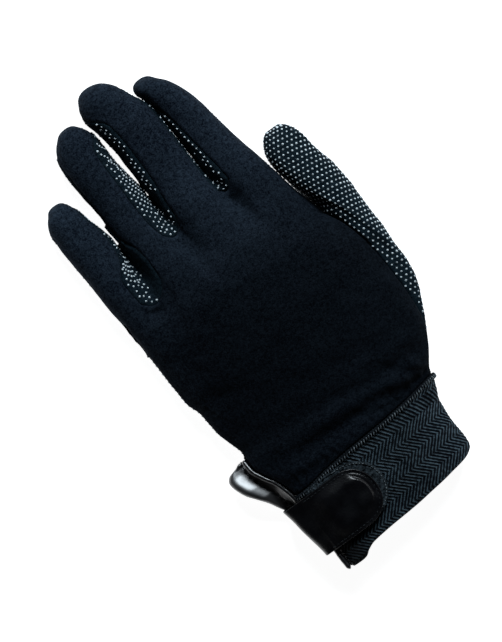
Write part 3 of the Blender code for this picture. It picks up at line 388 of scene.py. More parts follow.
def crestHeight(y):
    wrist = float(read(crest, "high", -0.20))
    fall = ease(-palmShare(y) / 0.10 + 1)
    high = hand["handHeight"] * read(crest, "high", palmShare(y))
    return high + (hand["cuffHeight"] - wrist * hand["handHeight"]) * fall


def crossFold(x, y):
    # Soft cross folds above the cuff: a sine wave under a bell, strongest on the thumb's side
    share = palmShare(y)
    wave = np.sin(2 * math.pi * (share / crossFolds["pitch"] + crossFolds["slant"] * x / handWidth))
    strength = mix(*crossFolds["share"], ease(x / handWidth + 0.5))
    return wave * bell((share - crossFolds["place"]) / crossFolds["run"]) * strength


def bodyPoint(across, y, back):
    # The hand at share across of its width: a dome over the back, flat with round sides below
    leftX, leftZ = ulnarEdge(y, back)
    rightX, rightZ = radialEdge(y, back)
    x = mix(leftX, rightX, across)
    edgeZ = mix(leftZ, rightZ, across)
    off = np.abs(2 * across - 1)
    if back:
        dome = np.sqrt(np.maximum(1 - off ** section["dome"], 0.0))
        z = edgeZ + (crestHeight(y) - 0.5 * (leftZ + rightZ)) * dome
        z = z + crossFolds["high"] * hand["handHeight"] * crossFold(x, y) * dome
    else:
        turn = np.clip((off - section["palmFlat"]) / (1 - section["palmFlat"]), 0.0, 1.0)
        z = edgeZ * (1 - np.sqrt(np.maximum(1 - turn ** 2, 0.0)))
    return np.stack(np.broadcast_arrays(x, y, z), axis=-1)


def knuckleRow(fingers, side):
    # The row through the slots' bottoms, or through the palm's crotches, ulnar to radial
    parts = []
    for f in range(4):
        row = fingers[f][side][0]
        row = row[::-1] if side == "palm" else row
        parts.append(row if f == 0 else row[1:])
        if f < 3:
            nextRow = fingers[f + 1][side][0]
            start = nextRow[-1] if side == "palm" else nextRow[0]
            share = slots["crotchDepth"] if side == "palm" else slots["depth"][f]
            dip = 0.0 if side == "palm" else slots["dip"] * hand["handHeight"]
            parts.append(slotArc(row[-1], start, hand["palmLength"] * share, dip)[1:])
    return np.concatenate(parts)


def bodyGrid(fingers, back):
    # Rows from the cuff's seam to the knuckle row, columns from the ulnar to the radial side
    last = knuckleRow(fingers, "back" if back else "palm")
    count = len(last)
    leftX = ulnarEdge(last[:, 1], back)[0]
    rightX = radialEdge(last[:, 1], back)[0]
    acrossLast = np.clip((last[:, 0] - leftX) / (rightX - leftX), 0, 1)
    acrossLast[0], acrossLast[-1] = 0, 1
    acrossFirst = 0.5 * (1 - np.cos(math.pi * np.arange(count) / (count - 1)))
    ulnar, radial = sideRows()
    firstY = hand["cuffLength"] * read(cuffEnds, "seam", mix(*cuffSpan, acrossFirst), "across")
    doneU = ((ulnar - ulnar[0]) / (ulnar[-1] - ulnar[0]))[:, None]
    doneR = ((radial - radial[0]) / (radial[-1] - radial[0]))[:, None]
    done = mix(doneU, doneR, acrossFirst)
    across = mix(acrossFirst, acrossLast, ease(done))
    across[:, 0], across[:, -1] = 0, 1
    y = firstY + (last[:, 1] - firstY) * done
    y[:, 0], y[:, -1] = ulnar, radial
    grid = bodyPoint(across, y, back)
    fade = np.full(count, section["knuckleFade"] if back else section["crotchFade"])
    fade[[0, -1]] = section["knuckleFade"]
    near = ease(1 - (last[:, 1] - y) / (fade * hand["palmLength"]))
    grid[..., 2] = mix(grid[..., 2], last[:, 2], near)
    grid[-1] = last
    angles = rootAngles()
    edge = slice(fine, fine * (section["thumbRows"] + 1) + 1)
    grid[edge, -1] = thumbRing(0.0, angles if back else -angles)
    return grid


def webGrid(fingers, f, top, bottom):
    # Web between two fingers: all four edges are given, the inside is blended between them
    left = fingers[f]["radial"][0]
    right = fingers[f + 1]["ulnar"][0][::-1]
    q = np.linspace(0, 1, section["wallCells"] * fine + 1)[:, None, None]
    t = np.linspace(0, 1, section["slotCells"] * fine + 1)[None, :, None]
    sides = mix(left[:, None], right[:, None], t)
    ends = mix(top[None], bottom[None], q)
    return sides + ends - mix(mix(top[0], top[-1], t), mix(bottom[0], bottom[-1], t), q)


def thumbGrid():
    # Rings from the root to the tip, each starting at the outside and going over the back
    root = rootAngles()
    ring0 = np.concatenate([root, 2 * math.pi - root[::-1][1:]])
    even = np.linspace(0, 2 * math.pi, len(ring0))
    steps = np.concatenate([np.linspace(0, 0.85, 9), thumbForm["tipSteps"]])
    v = np.interp(np.linspace(0, 13, 13 * fine + 1), np.arange(14), steps)[:, None]
    angle = mix(ring0, even, ease(v / 0.5))
    rings = thumbRing(v, np.where(angle > math.pi, angle - 2 * math.pi, angle))
    rings[:, -1] = rings[:, 0]
    half = rings.shape[1] // 2
    middle = 0.5 * (rings[-1, :half + 1] + rings[-1, half:][::-1])
    middle[:, 1] -= thumbForm["tipBow"] * np.linspace(-1, 1, half + 1) ** 2
    rings[-1, :half + 1] = middle
    rings[-1, half:] = middle[::-1]
    return rings


def gridFaces(shape, flip=False):
    ids = np.arange(shape[0] * shape[1]).reshape(shape[0], shape[1])
    faces = np.stack([ids[:-1, :-1], ids[:-1, 1:], ids[1:, 1:], ids[1:, :-1]], axis=-1).reshape(-1, 4)
    return faces[:, ::-1] if flip else faces


def vertexNormals(points, faces):
    # Mean of the faces round each point, the larger ones counting more
    corner = points[faces]
    normal = np.cross(corner[:, 2] - corner[:, 0], corner[:, 3] - corner[:, 1])
    total = np.zeros_like(points)
    for k in range(4):
        np.add.at(total, faces[:, k], normal)
    return total / np.maximum(np.linalg.norm(total, axis=1, keepdims=True), 1e-15)


def toMesh(name, points, faces, material, piece=None, attributes=None):
    # One object from points in the hand's frame; a face with one doubled corner becomes a triangle
    points = points - np.array([0.0, hand["restAlong"], 0.0])
    used, place = np.unique(faces, return_inverse=True)
    faces = place.reshape(faces.shape)
    points = points[used]
    double = np.stack([faces[:, k] == faces[:, k - 1] for k in range(4)], axis=1)
    single = double.sum(axis=1) == 1
    threes = faces[single][~double[single]].reshape(-1, 3)
    cells = faces[double.sum(axis=1) == 0].tolist() + threes.tolist()
    mesh = bpy.data.meshes.new(name)
    mesh.from_pydata(points.tolist(), [], cells)
    mesh.update()
    mesh.shade_smooth()
    for label, values in (attributes or {}).items():
        layer = mesh.attributes.new(label, "FLOAT", "POINT")
        layer.data.foreach_set("value", np.ascontiguousarray(values[used], dtype=np.float32))
    item = bpy.data.objects.new(name, mesh)
    bpy.context.scene.collection.objects.link(item)
    mesh.materials.append(material)
    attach(item, "root")
    if piece:
        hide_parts(piece)
    return item


def freeEdges(faces, count):
    # Directed sides that only one face uses
    pairs = np.concatenate([faces[:, [k, (k + 1) % 4]] for k in range(4)])
    pairs = pairs[pairs[:, 0] != pairs[:, 1]]
    key = pairs.min(axis=1) * count + pairs.max(axis=1)
    _, place, seen = np.unique(key, return_inverse=True, return_counts=True)
    return pairs[seen[place.reshape(-1)] == 1]


def closedWall(points, normals, faces, wall):
    # The outer faces, the same faces a wall's thickness in, and a rim along the free edges
    used, place = np.unique(faces, return_inverse=True)
    local, count = place.reshape(faces.shape), len(used)
    inner = points[used] - normals[used] * wall
    inner[:, 2] = np.maximum(inner[:, 2], 0.0002)
    rim = freeEdges(local, count)
    rim = np.stack([rim[:, 1], rim[:, 0], rim[:, 0] + count, rim[:, 1] + count], axis=1)
    return np.concatenate([points[used], inner]), np.concatenate([local, local[:, ::-1] + count, rim])


def giveWall(item, wall):
    # The cloth's inside, a wall's thickness in
    solid = item.modifiers.new("wall", "SOLIDIFY")
    solid.thickness = wall
    solid.offset = -1.0
    solid.use_quality_normals = True
    return item


# Shaders: soft grain, knit and zigzag ribs are node groups that every cloth shares
def startGroup(name, inputs, outputs):
    group = bpy.data.node_groups.new(name, "ShaderNodeTree")
    for label, kind, value in inputs:
        socket = group.interface.new_socket(name=label, in_out="INPUT", socket_type=kind)
        if value is not None:
            socket.default_value = value
    for label, kind in outputs:
        group.interface.new_socket(name=label, in_out="OUTPUT", socket_type=kind)
    return group, group.nodes.new("NodeGroupInput"), group.nodes.new("NodeGroupOutput")


def mathNode(tree, operation, *values):
    node = tree.nodes.new("ShaderNodeMath")
    node.operation = operation
    for k, value in enumerate(values):
        if isinstance(value, bpy.types.NodeSocket):
            tree.links.new(value, node.inputs[k])
        else:
            node.inputs[k].default_value = value
    return node.outputs[0]


def fuzzGroup():
    # Brushed nap: fine noise, clumps over twice as large and a slow change over the piece
    group, start, end = startGroup(
        "clothNap", [("Size", "NodeSocketFloat", 1400.0), ("Slow", "NodeSocketFloat", 22.0)],
        [("Height", "NodeSocketFloat"), ("Clump", "NodeSocketFloat"), ("Drift", "NodeSocketFloat")])
    place = group.nodes.new("ShaderNodeTexCoord")
    sizes = [start.outputs["Size"], mathNode(group, "MULTIPLY", start.outputs["Size"], 0.42),
             start.outputs["Slow"]]
    for size, out, detail in zip(sizes, ("Height", "Clump", "Drift"), (3.0, 3.0, 2.0)):
        noise = group.nodes.new("ShaderNodeTexNoise")
        noise.inputs["Detail"].default_value = detail
        group.links.new(place.outputs["Object"], noise.inputs["Vector"])
        group.links.new(size, noise.inputs["Scale"])
        group.links.new(noise.outputs["Fac"], end.inputs[out])
    return group


def ribGroup():
    # Woven rib: turn is the place across the ribs counted in ribs, thread the place along them
    group, start, end = startGroup(
        "zigzagRib", [("Turn", "NodeSocketFloat", 0.0), ("Thread", "NodeSocketFloat", 0.0)],
        [("Height", "NodeSocketFloat"), ("Crown", "NodeSocketFloat")])
    wave = mathNode(group, "COSINE", mathNode(group, "MULTIPLY", start.outputs["Turn"], 2 * math.pi))
    crown = mathNode(group, "MULTIPLY_ADD", wave, 0.5, 0.5)
    thread = mathNode(group, "COSINE", mathNode(group, "MULTIPLY", start.outputs["Thread"], 2 * math.pi))
    soft = mathNode(group, "POWER", crown, 0.8)
    group.links.new(mathNode(group, "MULTIPLY_ADD", thread, 0.12, soft), end.inputs["Height"])
    group.links.new(crown, end.inputs["Crown"])
    return group


def leatherGroup():
    # Fine pebble of coated leather: cells with soft valleys and faint scuffs
    group, start, end = startGroup(
        "leatherPebble", [("Size", "NodeSocketFloat", 1500.0)],
        [("Height", "NodeSocketFloat"), ("Scuff", "NodeSocketFloat")])
    place = group.nodes.new("ShaderNodeTexCoord")
    cells = group.nodes.new("ShaderNodeTexVoronoi")
    cells.feature = "SMOOTH_F1"
    group.links.new(place.outputs["Object"], cells.inputs["Vector"])
    group.links.new(start.outputs["Size"], cells.inputs["Scale"])
    scuff = group.nodes.new("ShaderNodeTexNoise")
    scuff.inputs["Detail"].default_value = 4.0
    scuff.inputs["Scale"].default_value = 160.0
    group.links.new(place.outputs["Object"], scuff.inputs["Vector"])
    group.links.new(cells.outputs["Distance"], end.inputs["Height"])
    group.links.new(scuff.outputs["Fac"], end.inputs["Scuff"])
    return group


clothNap, zigzagRib, leatherPebble = fuzzGroup(), ribGroup(), leatherGroup()


def placeGroup(tree, group, **values):
    node = tree.nodes.new("ShaderNodeGroup")
    node.node_tree = group
    for label, value in values.items():
        node.inputs[label].default_value = value
    return node


def ramp(tree, value, stops):
    node = tree.nodes.new("ShaderNodeValToRGB")
    points = node.color_ramp.elements
    points[0].position, points[0].color = stops[0]
    points[1].position, points[1].color = stops[-1]
    for position, colour in stops[1:-1]:
        points.new(position).color = colour
    tree.links.new(value, node.inputs["Fac"])
    return node.outputs["Color"]


def bump(tree, shader, *layers):
    # Layers of (height, strength, distance), each bump riding on the one before
    last = None
    for height, strength, distance in layers:
        node = tree.nodes.new("ShaderNodeBump")
        node.inputs["Strength"].default_value = strength
        node.inputs["Distance"].default_value = distance
        tree.links.new(height, node.inputs["Height"])
        if last is not None:
            tree.links.new(last, node.inputs["Normal"])
        last = node.outputs["Normal"]
    tree.links.new(last, shader.inputs["Normal"])


def startMaterial(name, **values):
    material = bpy.data.materials.new(name)
    material.use_nodes = True
    shader = material.node_tree.nodes["Principled BSDF"]
    for label, value in values.items():
        shader.inputs[label.replace("_", " ")].default_value = value
    return material, material.node_tree, shader


def scaleByPaintedLight(tree, colour):
    # Colour times the mesh's own tone attribute, which holds painted light and shade
    tone = tree.nodes.new("ShaderNodeAttribute")
    tone.attribute_name = "tone"
    scaled = tree.nodes.new("ShaderNodeVectorMath")
    scaled.operation = "SCALE"
    tree.links.new(colour, scaled.inputs[0])
    tree.links.new(tone.outputs["Fac"], scaled.inputs["Scale"])
    return scaled.outputs["Vector"]


def swing(tree, value, amount, base):
    # Base plus amount times how far the value is from one half
    return mathNode(tree, "MULTIPLY_ADD", mathNode(tree, "SUBTRACT", value, 0.5), amount, base)


def clothMaterial(name, dark, light, size=1400.0, strength=0.5, lightPainted=False):
    # Colour from the nap's clumps, a little slow drift, and the nap itself as bump
    material, tree, shader = startMaterial(
        name, Roughness=0.95, Specular_IOR_Level=0.04, Sheen_Weight=0.015, Sheen_Roughness=0.4,
        Sheen_Tint=(0.62, 0.82, 1.0, 1.0))
    nap = placeGroup(tree, clothNap, Size=size)
    value = mathNode(tree, "MULTIPLY_ADD", nap.outputs["Clump"], 0.40,
                     mathNode(tree, "MULTIPLY", nap.outputs["Height"], 0.60))
    value = swing(tree, nap.outputs["Drift"], 0.20, value)
    colour = ramp(tree, value, [(0.38, dark), (0.66, light)])
    # The jersey's tone attribute holds painted light and shade: the colour is scaled lighter on the fingers
    # than on the back
    tree.links.new(scaleByPaintedLight(tree, colour) if lightPainted else colour, shader.inputs["Base Color"])
    bump(tree, shader, (nap.outputs["Clump"], strength * 0.5, 0.0006),
         (nap.outputs["Height"], strength, 0.0003))
    return material


jersey = clothMaterial("jerseyBrushed", (0.0013, 0.0027, 0.0055, 1), (0.0150, 0.0230, 0.0340, 1),
                       1500.0, 0.6, True)
dotKnit = clothMaterial("dottedKnit", (0.0010, 0.0034, 0.0058, 1), (0.0110, 0.0210, 0.0290, 1), 1800.0)
pile = clothMaterial("loopPile", (0.0006, 0.0012, 0.0020, 1), (0.0400, 0.0530, 0.0630, 1), 900.0, 1.0)
linen = clothMaterial("cuffLining", (0.0030, 0.0040, 0.0055, 1), (0.0100, 0.0130, 0.0160, 1))


def ribMaterial():
    # The elastic: colour follows the ribs, pale crowns as painted sheen and dark valleys as painted shade,
    # with cross threads and the nap
    material, tree, shader = startMaterial("zigzagElastic", Roughness=0.70, Specular_IOR_Level=0.10)
    turn, thread = (tree.nodes.new("ShaderNodeAttribute") for _ in range(2))
    turn.attribute_name, thread.attribute_name = "ribTurn", "ribThread"
    rib = placeGroup(tree, zigzagRib)
    tree.links.new(turn.outputs["Fac"], rib.inputs["Turn"])
    tree.links.new(thread.outputs["Fac"], rib.inputs["Thread"])
    nap = placeGroup(tree, clothNap, Size=1600.0)
    value = swing(tree, nap.outputs["Clump"], 2.0, rib.outputs["Crown"])
    stops = [(0.20, (0.0006, 0.0013, 0.0026, 1)), (0.60, (0.0080, 0.0130, 0.0180, 1)),
             (1.00, (0.0460, 0.0700, 0.0860, 1))]
    tree.links.new(scaleByPaintedLight(tree, ramp(tree, value, stops)), shader.inputs["Base Color"])
    bump(tree, shader, (rib.outputs["Height"], 0.6, 0.0004), (nap.outputs["Height"], 0.4, 0.0002))
    return material


def leatherMaterial(name, roughness, size, grain, gloss, coat, coatRoughness=0.34):
    # Coated leather: scuffs change its colour and gloss a little, the pebble is relief
    material, tree, shader = startMaterial(
        name, Roughness=roughness, Specular_IOR_Level=gloss, Coat_Weight=coat,
        Coat_Roughness=coatRoughness, Coat_IOR=2.3)
    pebble = placeGroup(tree, leatherPebble, Size=size)
    stops = [(0.35, (0.0009, 0.0010, 0.0020, 1)), (0.75, (0.0024, 0.0028, 0.0042, 1))]
    tree.links.new(ramp(tree, pebble.outputs["Scuff"], stops), shader.inputs["Base Color"])
    tree.links.new(swing(tree, pebble.outputs["Scuff"], 0.25, roughness), shader.inputs["Roughness"])
    bump(tree, shader, (pebble.outputs["Scuff"], 0.25, 0.0006), (pebble.outputs["Height"], grain, 0.0002))
    return material


def threadMaterial(name, dark, light):
    material, tree, shader = startMaterial(name, Roughness=0.60, Specular_IOR_Level=0.15)
    nap = placeGroup(tree, clothNap, Size=2600.0)
    colour = ramp(tree, nap.outputs["Clump"], [(0.38, dark), (0.62, light)])
    tree.links.new(colour, shader.inputs["Base Color"])
    bump(tree, shader, (nap.outputs["Height"], 0.3, 0.0002))
    return material


def dotMaterial():
    # Silicone dots: silvery white, worn to grey in places
    material, tree, shader = startMaterial("gripDot", Roughness=0.38, Specular_IOR_Level=0.5)
    nap = placeGroup(tree, clothNap, Size=1500.0)
    stops = [(0.34, (0.30, 0.35, 0.38, 1)), (0.58, (0.64, 0.72, 0.76, 1))]
    tree.links.new(ramp(tree, nap.outputs["Clump"], stops), shader.inputs["Base Color"])
    bump(tree, shader, (nap.outputs["Height"], 0.15, 0.0002))
    return material


ribbed, silicone = ribMaterial(), dotMaterial()
thread = threadMaterial("overlockThread", (0.012, 0.017, 0.022, 1), (0.130, 0.155, 0.170, 1))
darkThread = threadMaterial("seamThread", (0.002, 0.003, 0.004, 1), (0.020, 0.024, 0.028, 1))
trimLeather = leatherMaterial("trimLeather", 0.34, 1400.0, 0.30, 0.5, 0.0)
glossLeather = leatherMaterial("glossLeather", 0.46, 1700.0, 0.10, 0.8, 0.70, 0.38)
pipingLeather = leatherMaterial("pipingLeather", 0.30, 1700.0, 0.10, 0.6, 0.3)
print("materials ready")

# The skin of the whole hand in one piece, so that seams meet, then cut into its panels
fingers = [fingerGrids(f) for f in range(4)]
backBody, palmBody = bodyGrid(fingers, True), bodyGrid(fingers, False)
webNames = ("fourchette_little_ring", "fourchette_ring_middle", "fourchette_middle_index")
patches = [("back_panel", "body", backBody, False), ("palm_panel", "body", palmBody, True)]
column = 0
for f in range(4):
    patches.append(("back_panel", "finger", fingers[f]["back"], False))
    patches.append(("palm_panel", "finger", fingers[f]["palm"], False))
    walls = slice(0, (section["wallEnd"] + 1) * fine + 1)
    if f < 3:
        patches.append((webNames[f], "radial", fingers[f]["radial"][walls], False))
    if f > 0:
        patches.append((webNames[f - 1], "ulnar", fingers[f]["ulnar"][walls], False))
    column += section["cells"][f] * fine
    if f < 3:
        span = slice(column, column + section["slotCells"] * fine + 1)
        web = webGrid(fingers, f, backBody[-1, span], palmBody[-1, span])
        patches.append((webNames[f], "web", web, False))
        column += section["slotCells"] * fine
patches.append(("thumb", "rings", thumbGrid(), True))


def weldPatches():
    # Equal points of neighbouring patches become one
    points = np.concatenate([grid.reshape(-1, 3) for _, _, grid, _ in patches])
    key = np.round(points / 2e-6 + 0.37).astype(np.int64)
    _, first, back = np.unique(key, axis=0, return_index=True, return_inverse=True)
    back = back.reshape(-1)
    faces, owners, places = [], [], []
    start = 0
    for number, (name, _, grid, flip) in enumerate(patches):
        size = grid.shape[0] * grid.shape[1]
        ids = back[start:start + size]
        cells = ids[gridFaces(grid.shape, flip)]
        faces.append(cells)
        owners.append(np.full(len(cells), number))
        places.append(ids.reshape(grid.shape[:2]))
        start += size
    return points[first], np.concatenate(faces), np.concatenate(owners), places


skin, skinFaces, skinOwner, patchPlace = weldPatches()
panelNames = sorted({name for name, _, _, _ in patches})
panelOf = np.array([panelNames.index(name) for name, _, _, _ in patches])[skinOwner]


def skinEdges():
    # Every side once, with the marks of a seam between two panels and of an open edge
    pairs = np.concatenate([skinFaces[:, [k, (k + 1) % 4]] for k in range(4)])
    who = np.tile(panelOf, 4)
    real = pairs[:, 0] != pairs[:, 1]
    low, high = np.sort(pairs[real], axis=1).T
    key = low * len(skin) + high
    order = np.argsort(key, kind="stable")
    panel = who[real][order]
    _, first, count = np.unique(key[order], return_index=True, return_counts=True)
    single = count == 1
    seam = ~single & (panel[first] != panel[first + count - 1])
    return low[order][first], high[order][first], seam, single


edgeLow, edgeHigh, edgeSeam, edgeOpen = skinEdges()


def relax(points, rounds):
    # Every point moves half way to the mean of its neighbours; the open edges stay
    still = np.zeros(len(points), dtype=bool)
    still[edgeLow[edgeOpen]] = still[edgeHigh[edgeOpen]] = True
    near = np.bincount(edgeLow, minlength=len(points)) + np.bincount(edgeHigh, minlength=len(points))
    for _ in range(rounds):
        total = np.stack([np.bincount(edgeLow, points[edgeHigh, k], len(points))
                          + np.bincount(edgeHigh, points[edgeLow, k], len(points))
                          for k in range(3)], axis=1)
        points = np.where(still[:, None], points, mix(points, total / near[:, None], 0.5))
    return points


skin = relax(skin, 8)


def seamDistance():
    # Way along the surface to the nearest seam or open edge, spread from point to point
    distance = np.full(len(skin), 1.0)
    edge = edgeSeam | edgeOpen
    distance[edgeLow[edge]] = distance[edgeHigh[edge]] = 0.0
    links = np.concatenate([np.stack([edgeLow, edgeHigh], axis=1),
                            skinFaces[:, [0, 2]], skinFaces[:, [1, 3]]])
    length = np.linalg.norm(skin[links[:, 0]] - skin[links[:, 1]], axis=1)
    for _ in range(5 * fine):
        np.minimum.at(distance, links[:, 1], distance[links[:, 0]] + length)
        np.minimum.at(distance, links[:, 0], distance[links[:, 1]] + length)
    return distance


cloth = {
    "wall": 0.0012, "seamDepth": 0.00045, "seamHalf": 0.0007, "seamReach": 0.004,
    "lip": 0.00010, "lipAt": 0.0020, "lipHalf": 0.0010,
    "swell": 0.00025, "swellSize": 0.022, "rumple": 0.00012, "rumpleSize": 0.0070,
    "gather": 0.00030, "gatherPitch": 0.0054, "gatherRun": 0.0075, "gatherLean": 0.25,
    "gatherWander": 0.0016, "gatherSize": 0.011,
    # Painted light and shade for the jersey's tone: darker on the back, lighter on the fingers, just above
    # the cuff and along the little finger's side
    "backPaintedShade": 0.40, "fingerPaintedLight": 1.25, "paintedLightFrom": 0.105, "paintedLightRun": 0.080,
    "wristPaintedLight": 0.16, "wristFrom": 0.070, "wristRun": 0.030,
    "edgePaintedSheen": 0.30, "edgeFrom": -0.036, "edgeRun": 0.012,
}
# Creases in the back seen from above: two ends, half width, depth (+ is a ridge)
creases = shapeTable(
    "x0 y0 x1 y1 half depth",
    (-0.034, 0.0560, 0.010, 0.0600, 0.0030, 0.00055), (-0.020, 0.0500, 0.022, 0.0530, 0.0024, -0.00045),
    (0.006, 0.0640, 0.036, 0.0590, 0.0030, 0.00050), (0.020, 0.0560, 0.038, 0.0475, 0.0022, 0.00080),
    (0.027, 0.0610, 0.0405, 0.0480, 0.0018, -0.00070), (0.0385, 0.0620, 0.0425, 0.0470, 0.0016, 0.00080),
    (0.010, 0.0490, 0.034, 0.0455, 0.0016, 0.00055), (-0.036, 0.0480, -0.014, 0.0450, 0.0018, 0.00045),
    (-0.046, 0.0960, -0.020, 0.0880, 0.0036, -0.00055), (-0.050, 0.1040, -0.024, 0.1000, 0.0036, 0.00045),
    (-0.043, 0.1420, -0.033, 0.1395, 0.0014, -0.00120), (-0.048, 0.1370, -0.030, 0.1345, 0.0022, 0.00060),
    (-0.020, 0.1590, -0.006, 0.1570, 0.0020, -0.00045), (0.016, 0.1610, 0.026, 0.1590, 0.0020, -0.00045),
    (0.040, 0.1180, 0.050, 0.1040, 0.0030, 0.00040))
# Wrinkles across the palm, where the hand and its fingers bend
palmWrinkles = shapeTable(
    "y depth half", (0.0985, 0.00045, 0.0022), (0.1360, 0.00040, 0.0020), (0.0580, 0.00035, 0.0026))


def creaseHeight(points):
    # Each crease is a bell across its line that fades out at both ends
    total = np.zeros(len(points))
    for x0, y0, x1, y1, half, depth in zip(*creases.values()):
        along = np.array([x1 - x0, y1 - y0])
        length = np.linalg.norm(along)
        along /= length
        offset = points[:, :2] - np.array([x0, y0])
        run = offset @ along / length
        across = offset @ np.array([-along[1], along[0]])
        across = across + 0.10 * length * np.sin(math.pi * run) * 0.6
        total += depth * bell(across / half) * ease(run * 3) * ease((1 - run) * 3)
    return total


def dressSkin():
    # Seams sink between two soft lips, creases and a slow swell move the cloth between them
    normal = vertexNormals(skin, skinFaces)
    distance = seamDistance()
    away = ease(distance / cloth["seamReach"])
    move = -cloth["seamDepth"] * bell(distance / cloth["seamHalf"])
    move += cloth["lip"] * bell((distance - cloth["lipAt"]) / cloth["lipHalf"])
    move += away * cloth["swell"] * waves(skin, cloth["swellSize"], 3)
    move += away * cloth["rumple"] * waves(skin, cloth["rumpleSize"], 8)
    # Gathers: short ripples across the cuff's seam that fade out up the hand
    climb = skin[:, 1] - hand["cuffLength"] * read(cuffEnds, "seam", skin[:, 0] / handWidth, "across")
    lean = skin[:, 0] + cloth["gatherLean"] * climb
    lean = lean + cloth["gatherWander"] * waves(skin, cloth["gatherSize"], 12)
    ripple = np.sin(2 * math.pi * lean / cloth["gatherPitch"])
    ripple += 0.5 * np.sin(3.3 * math.pi * lean / cloth["gatherPitch"])
    move += away * cloth["gather"] * ripple * np.exp(-np.maximum(climb, 0) / cloth["gatherRun"])
    over = ease(normal[:, 2] * 1.6 - 0.2)
    move += away * over * creaseHeight(skin)
    under = ease(-normal[:, 2] * 2.0)
    bendY = skin[:, 1] + 0.004 * np.sin(skin[:, 0] * 90)
    for y0, depth, half in zip(*palmWrinkles.values()):
        move -= away * under * depth * bell((bendY - y0) / half)
    moved = skin + normal * move[:, None]
    moved[:, 2] = np.maximum(moved[:, 2], 0.0)
    return moved, vertexNormals(moved, skinFaces), distance


skinMoved, skinNormal, skinSeam = dressSkin()
looks = {"back_panel": jersey, "palm_panel": dotKnit, "thumb": dotKnit}
titles = {
    "back_panel": "backJersey", "palm_panel": "palmCloth", "thumb": "thumbCloth",
    "fourchette_little_ring": "fourchetteLittleRing", "fourchette_ring_middle": "fourchetteRingMiddle",
    "fourchette_middle_index": "fourchetteMiddleIndex",
}
for number, name in enumerate(panelNames):
    points, cells = closedWall(skinMoved, skinNormal, skinFaces[panelOf == number], cloth["wall"])
    # Painted light and shade in the tone attribute: darker on the back's middle, lighter towards the
    # fingers where the key light falls, lighter just above the cuff, and a painted sheen along the little
    # finger's side
    towardTips = ease((points[:, 1] - cloth["paintedLightFrom"]) / cloth["paintedLightRun"])
    tone = mix(cloth["backPaintedShade"], cloth["fingerPaintedLight"], towardTips)
    towardWrist = ease((cloth["wristFrom"] - points[:, 1]) / cloth["wristRun"])
    towardEdge = ease((cloth["edgeFrom"] - points[:, 0]) / cloth["edgeRun"])
    tone += cloth["wristPaintedLight"] * towardWrist + cloth["edgePaintedSheen"] * towardEdge
    panel = toMesh(titles[name], points, cells, looks.get(name, dotKnit), name, {"tone": tone})
print("panels ready:", len(skinFaces), "cells")

# Grip dots: the cloth is laid flat in numbers, dotted on a triangular lattice and put back
dots = {
    "pitch": 0.0026, "radius": 0.00055, "height": 0.00030, "sides": 8, "clear": 0.0010, "sink": 0.00012,
    "spread": (0.88, 1.10), "shoulder": (0.70, 0.66), "turn": math.radians(8),
    "edgeRise": 0.62, "deepRise": 0.97, "rounds": 400, "pull": 1.6,
}


def arcLength(grid, axis):
    step = np.linalg.norm(np.diff(grid, axis=axis), axis=-1)
    total = np.cumsum(step, axis=axis)
    return np.concatenate([np.zeros_like(np.take(total, [0], axis=axis)), total], axis=axis)


def layFlat(grid, start):
    # Flat places that keep the lengths of the cells: every side pulls its ends to its own length
    rows, columns = grid.shape[:2]
    ids = np.arange(rows * columns).reshape(rows, columns)
    links = np.concatenate([
        np.stack([ids[:, :-1].ravel(), ids[:, 1:].ravel()], axis=1),
        np.stack([ids[:-1].ravel(), ids[1:].ravel()], axis=1),
        np.stack([ids[:-1, :-1].ravel(), ids[1:, 1:].ravel()], axis=1),
        np.stack([ids[1:, :-1].ravel(), ids[:-1, 1:].ravel()], axis=1)])
    points = grid.reshape(-1, 3)
    length = np.linalg.norm(points[links[:, 0]] - points[links[:, 1]], axis=1)
    flat = start.reshape(-1, 2).copy()
    share = np.bincount(links.ravel(), minlength=len(flat))[:, None]
    for _ in range(dots["rounds"]):
        gap = flat[links[:, 1]] - flat[links[:, 0]]
        size = np.maximum(np.linalg.norm(gap, axis=1), 1e-9)
        pull = gap * (0.5 * (size - length) / size)[:, None]
        move = np.stack([np.bincount(links[:, 0], pull[:, k], len(flat))
                         - np.bincount(links[:, 1], pull[:, k], len(flat)) for k in range(2)], axis=1)
        flat += dots["pull"] * move / share
    return flat.reshape(rows, columns, 2)


def opened(grid, below):
    # Seen from above, with the steep sides of each row folded out by their height
    side = np.cos(math.pi * np.arange(grid.shape[1]) / (grid.shape[1] - 1))[None, :]
    facing = -1 if below else 1
    height = grid[..., 2] * facing
    fall = height.max(axis=1, keepdims=True) - height
    return np.stack([grid[..., 0] + fall * side * facing, grid[..., 1]], axis=-1)


def filledIn(flat, rows, columns):
    # Flat places known at every second row and column, blended for the places between
    atRow = np.interp(np.arange(rows), np.arange(rows)[::2], np.arange(flat.shape[0]))
    atColumn = np.interp(np.arange(columns), np.arange(columns)[::2], np.arange(flat.shape[1]))
    r, c = np.floor(atRow).astype(int), np.floor(atColumn).astype(int)
    r1, c1 = np.minimum(r + 1, flat.shape[0] - 1), np.minimum(c + 1, flat.shape[1] - 1)
    fr, fc = (atRow - r)[:, None, None], (atColumn - c)[None, :, None]
    return mix(mix(flat[r][:, c], flat[r1][:, c], fr), mix(flat[r][:, c1], flat[r1][:, c1], fr), fc)


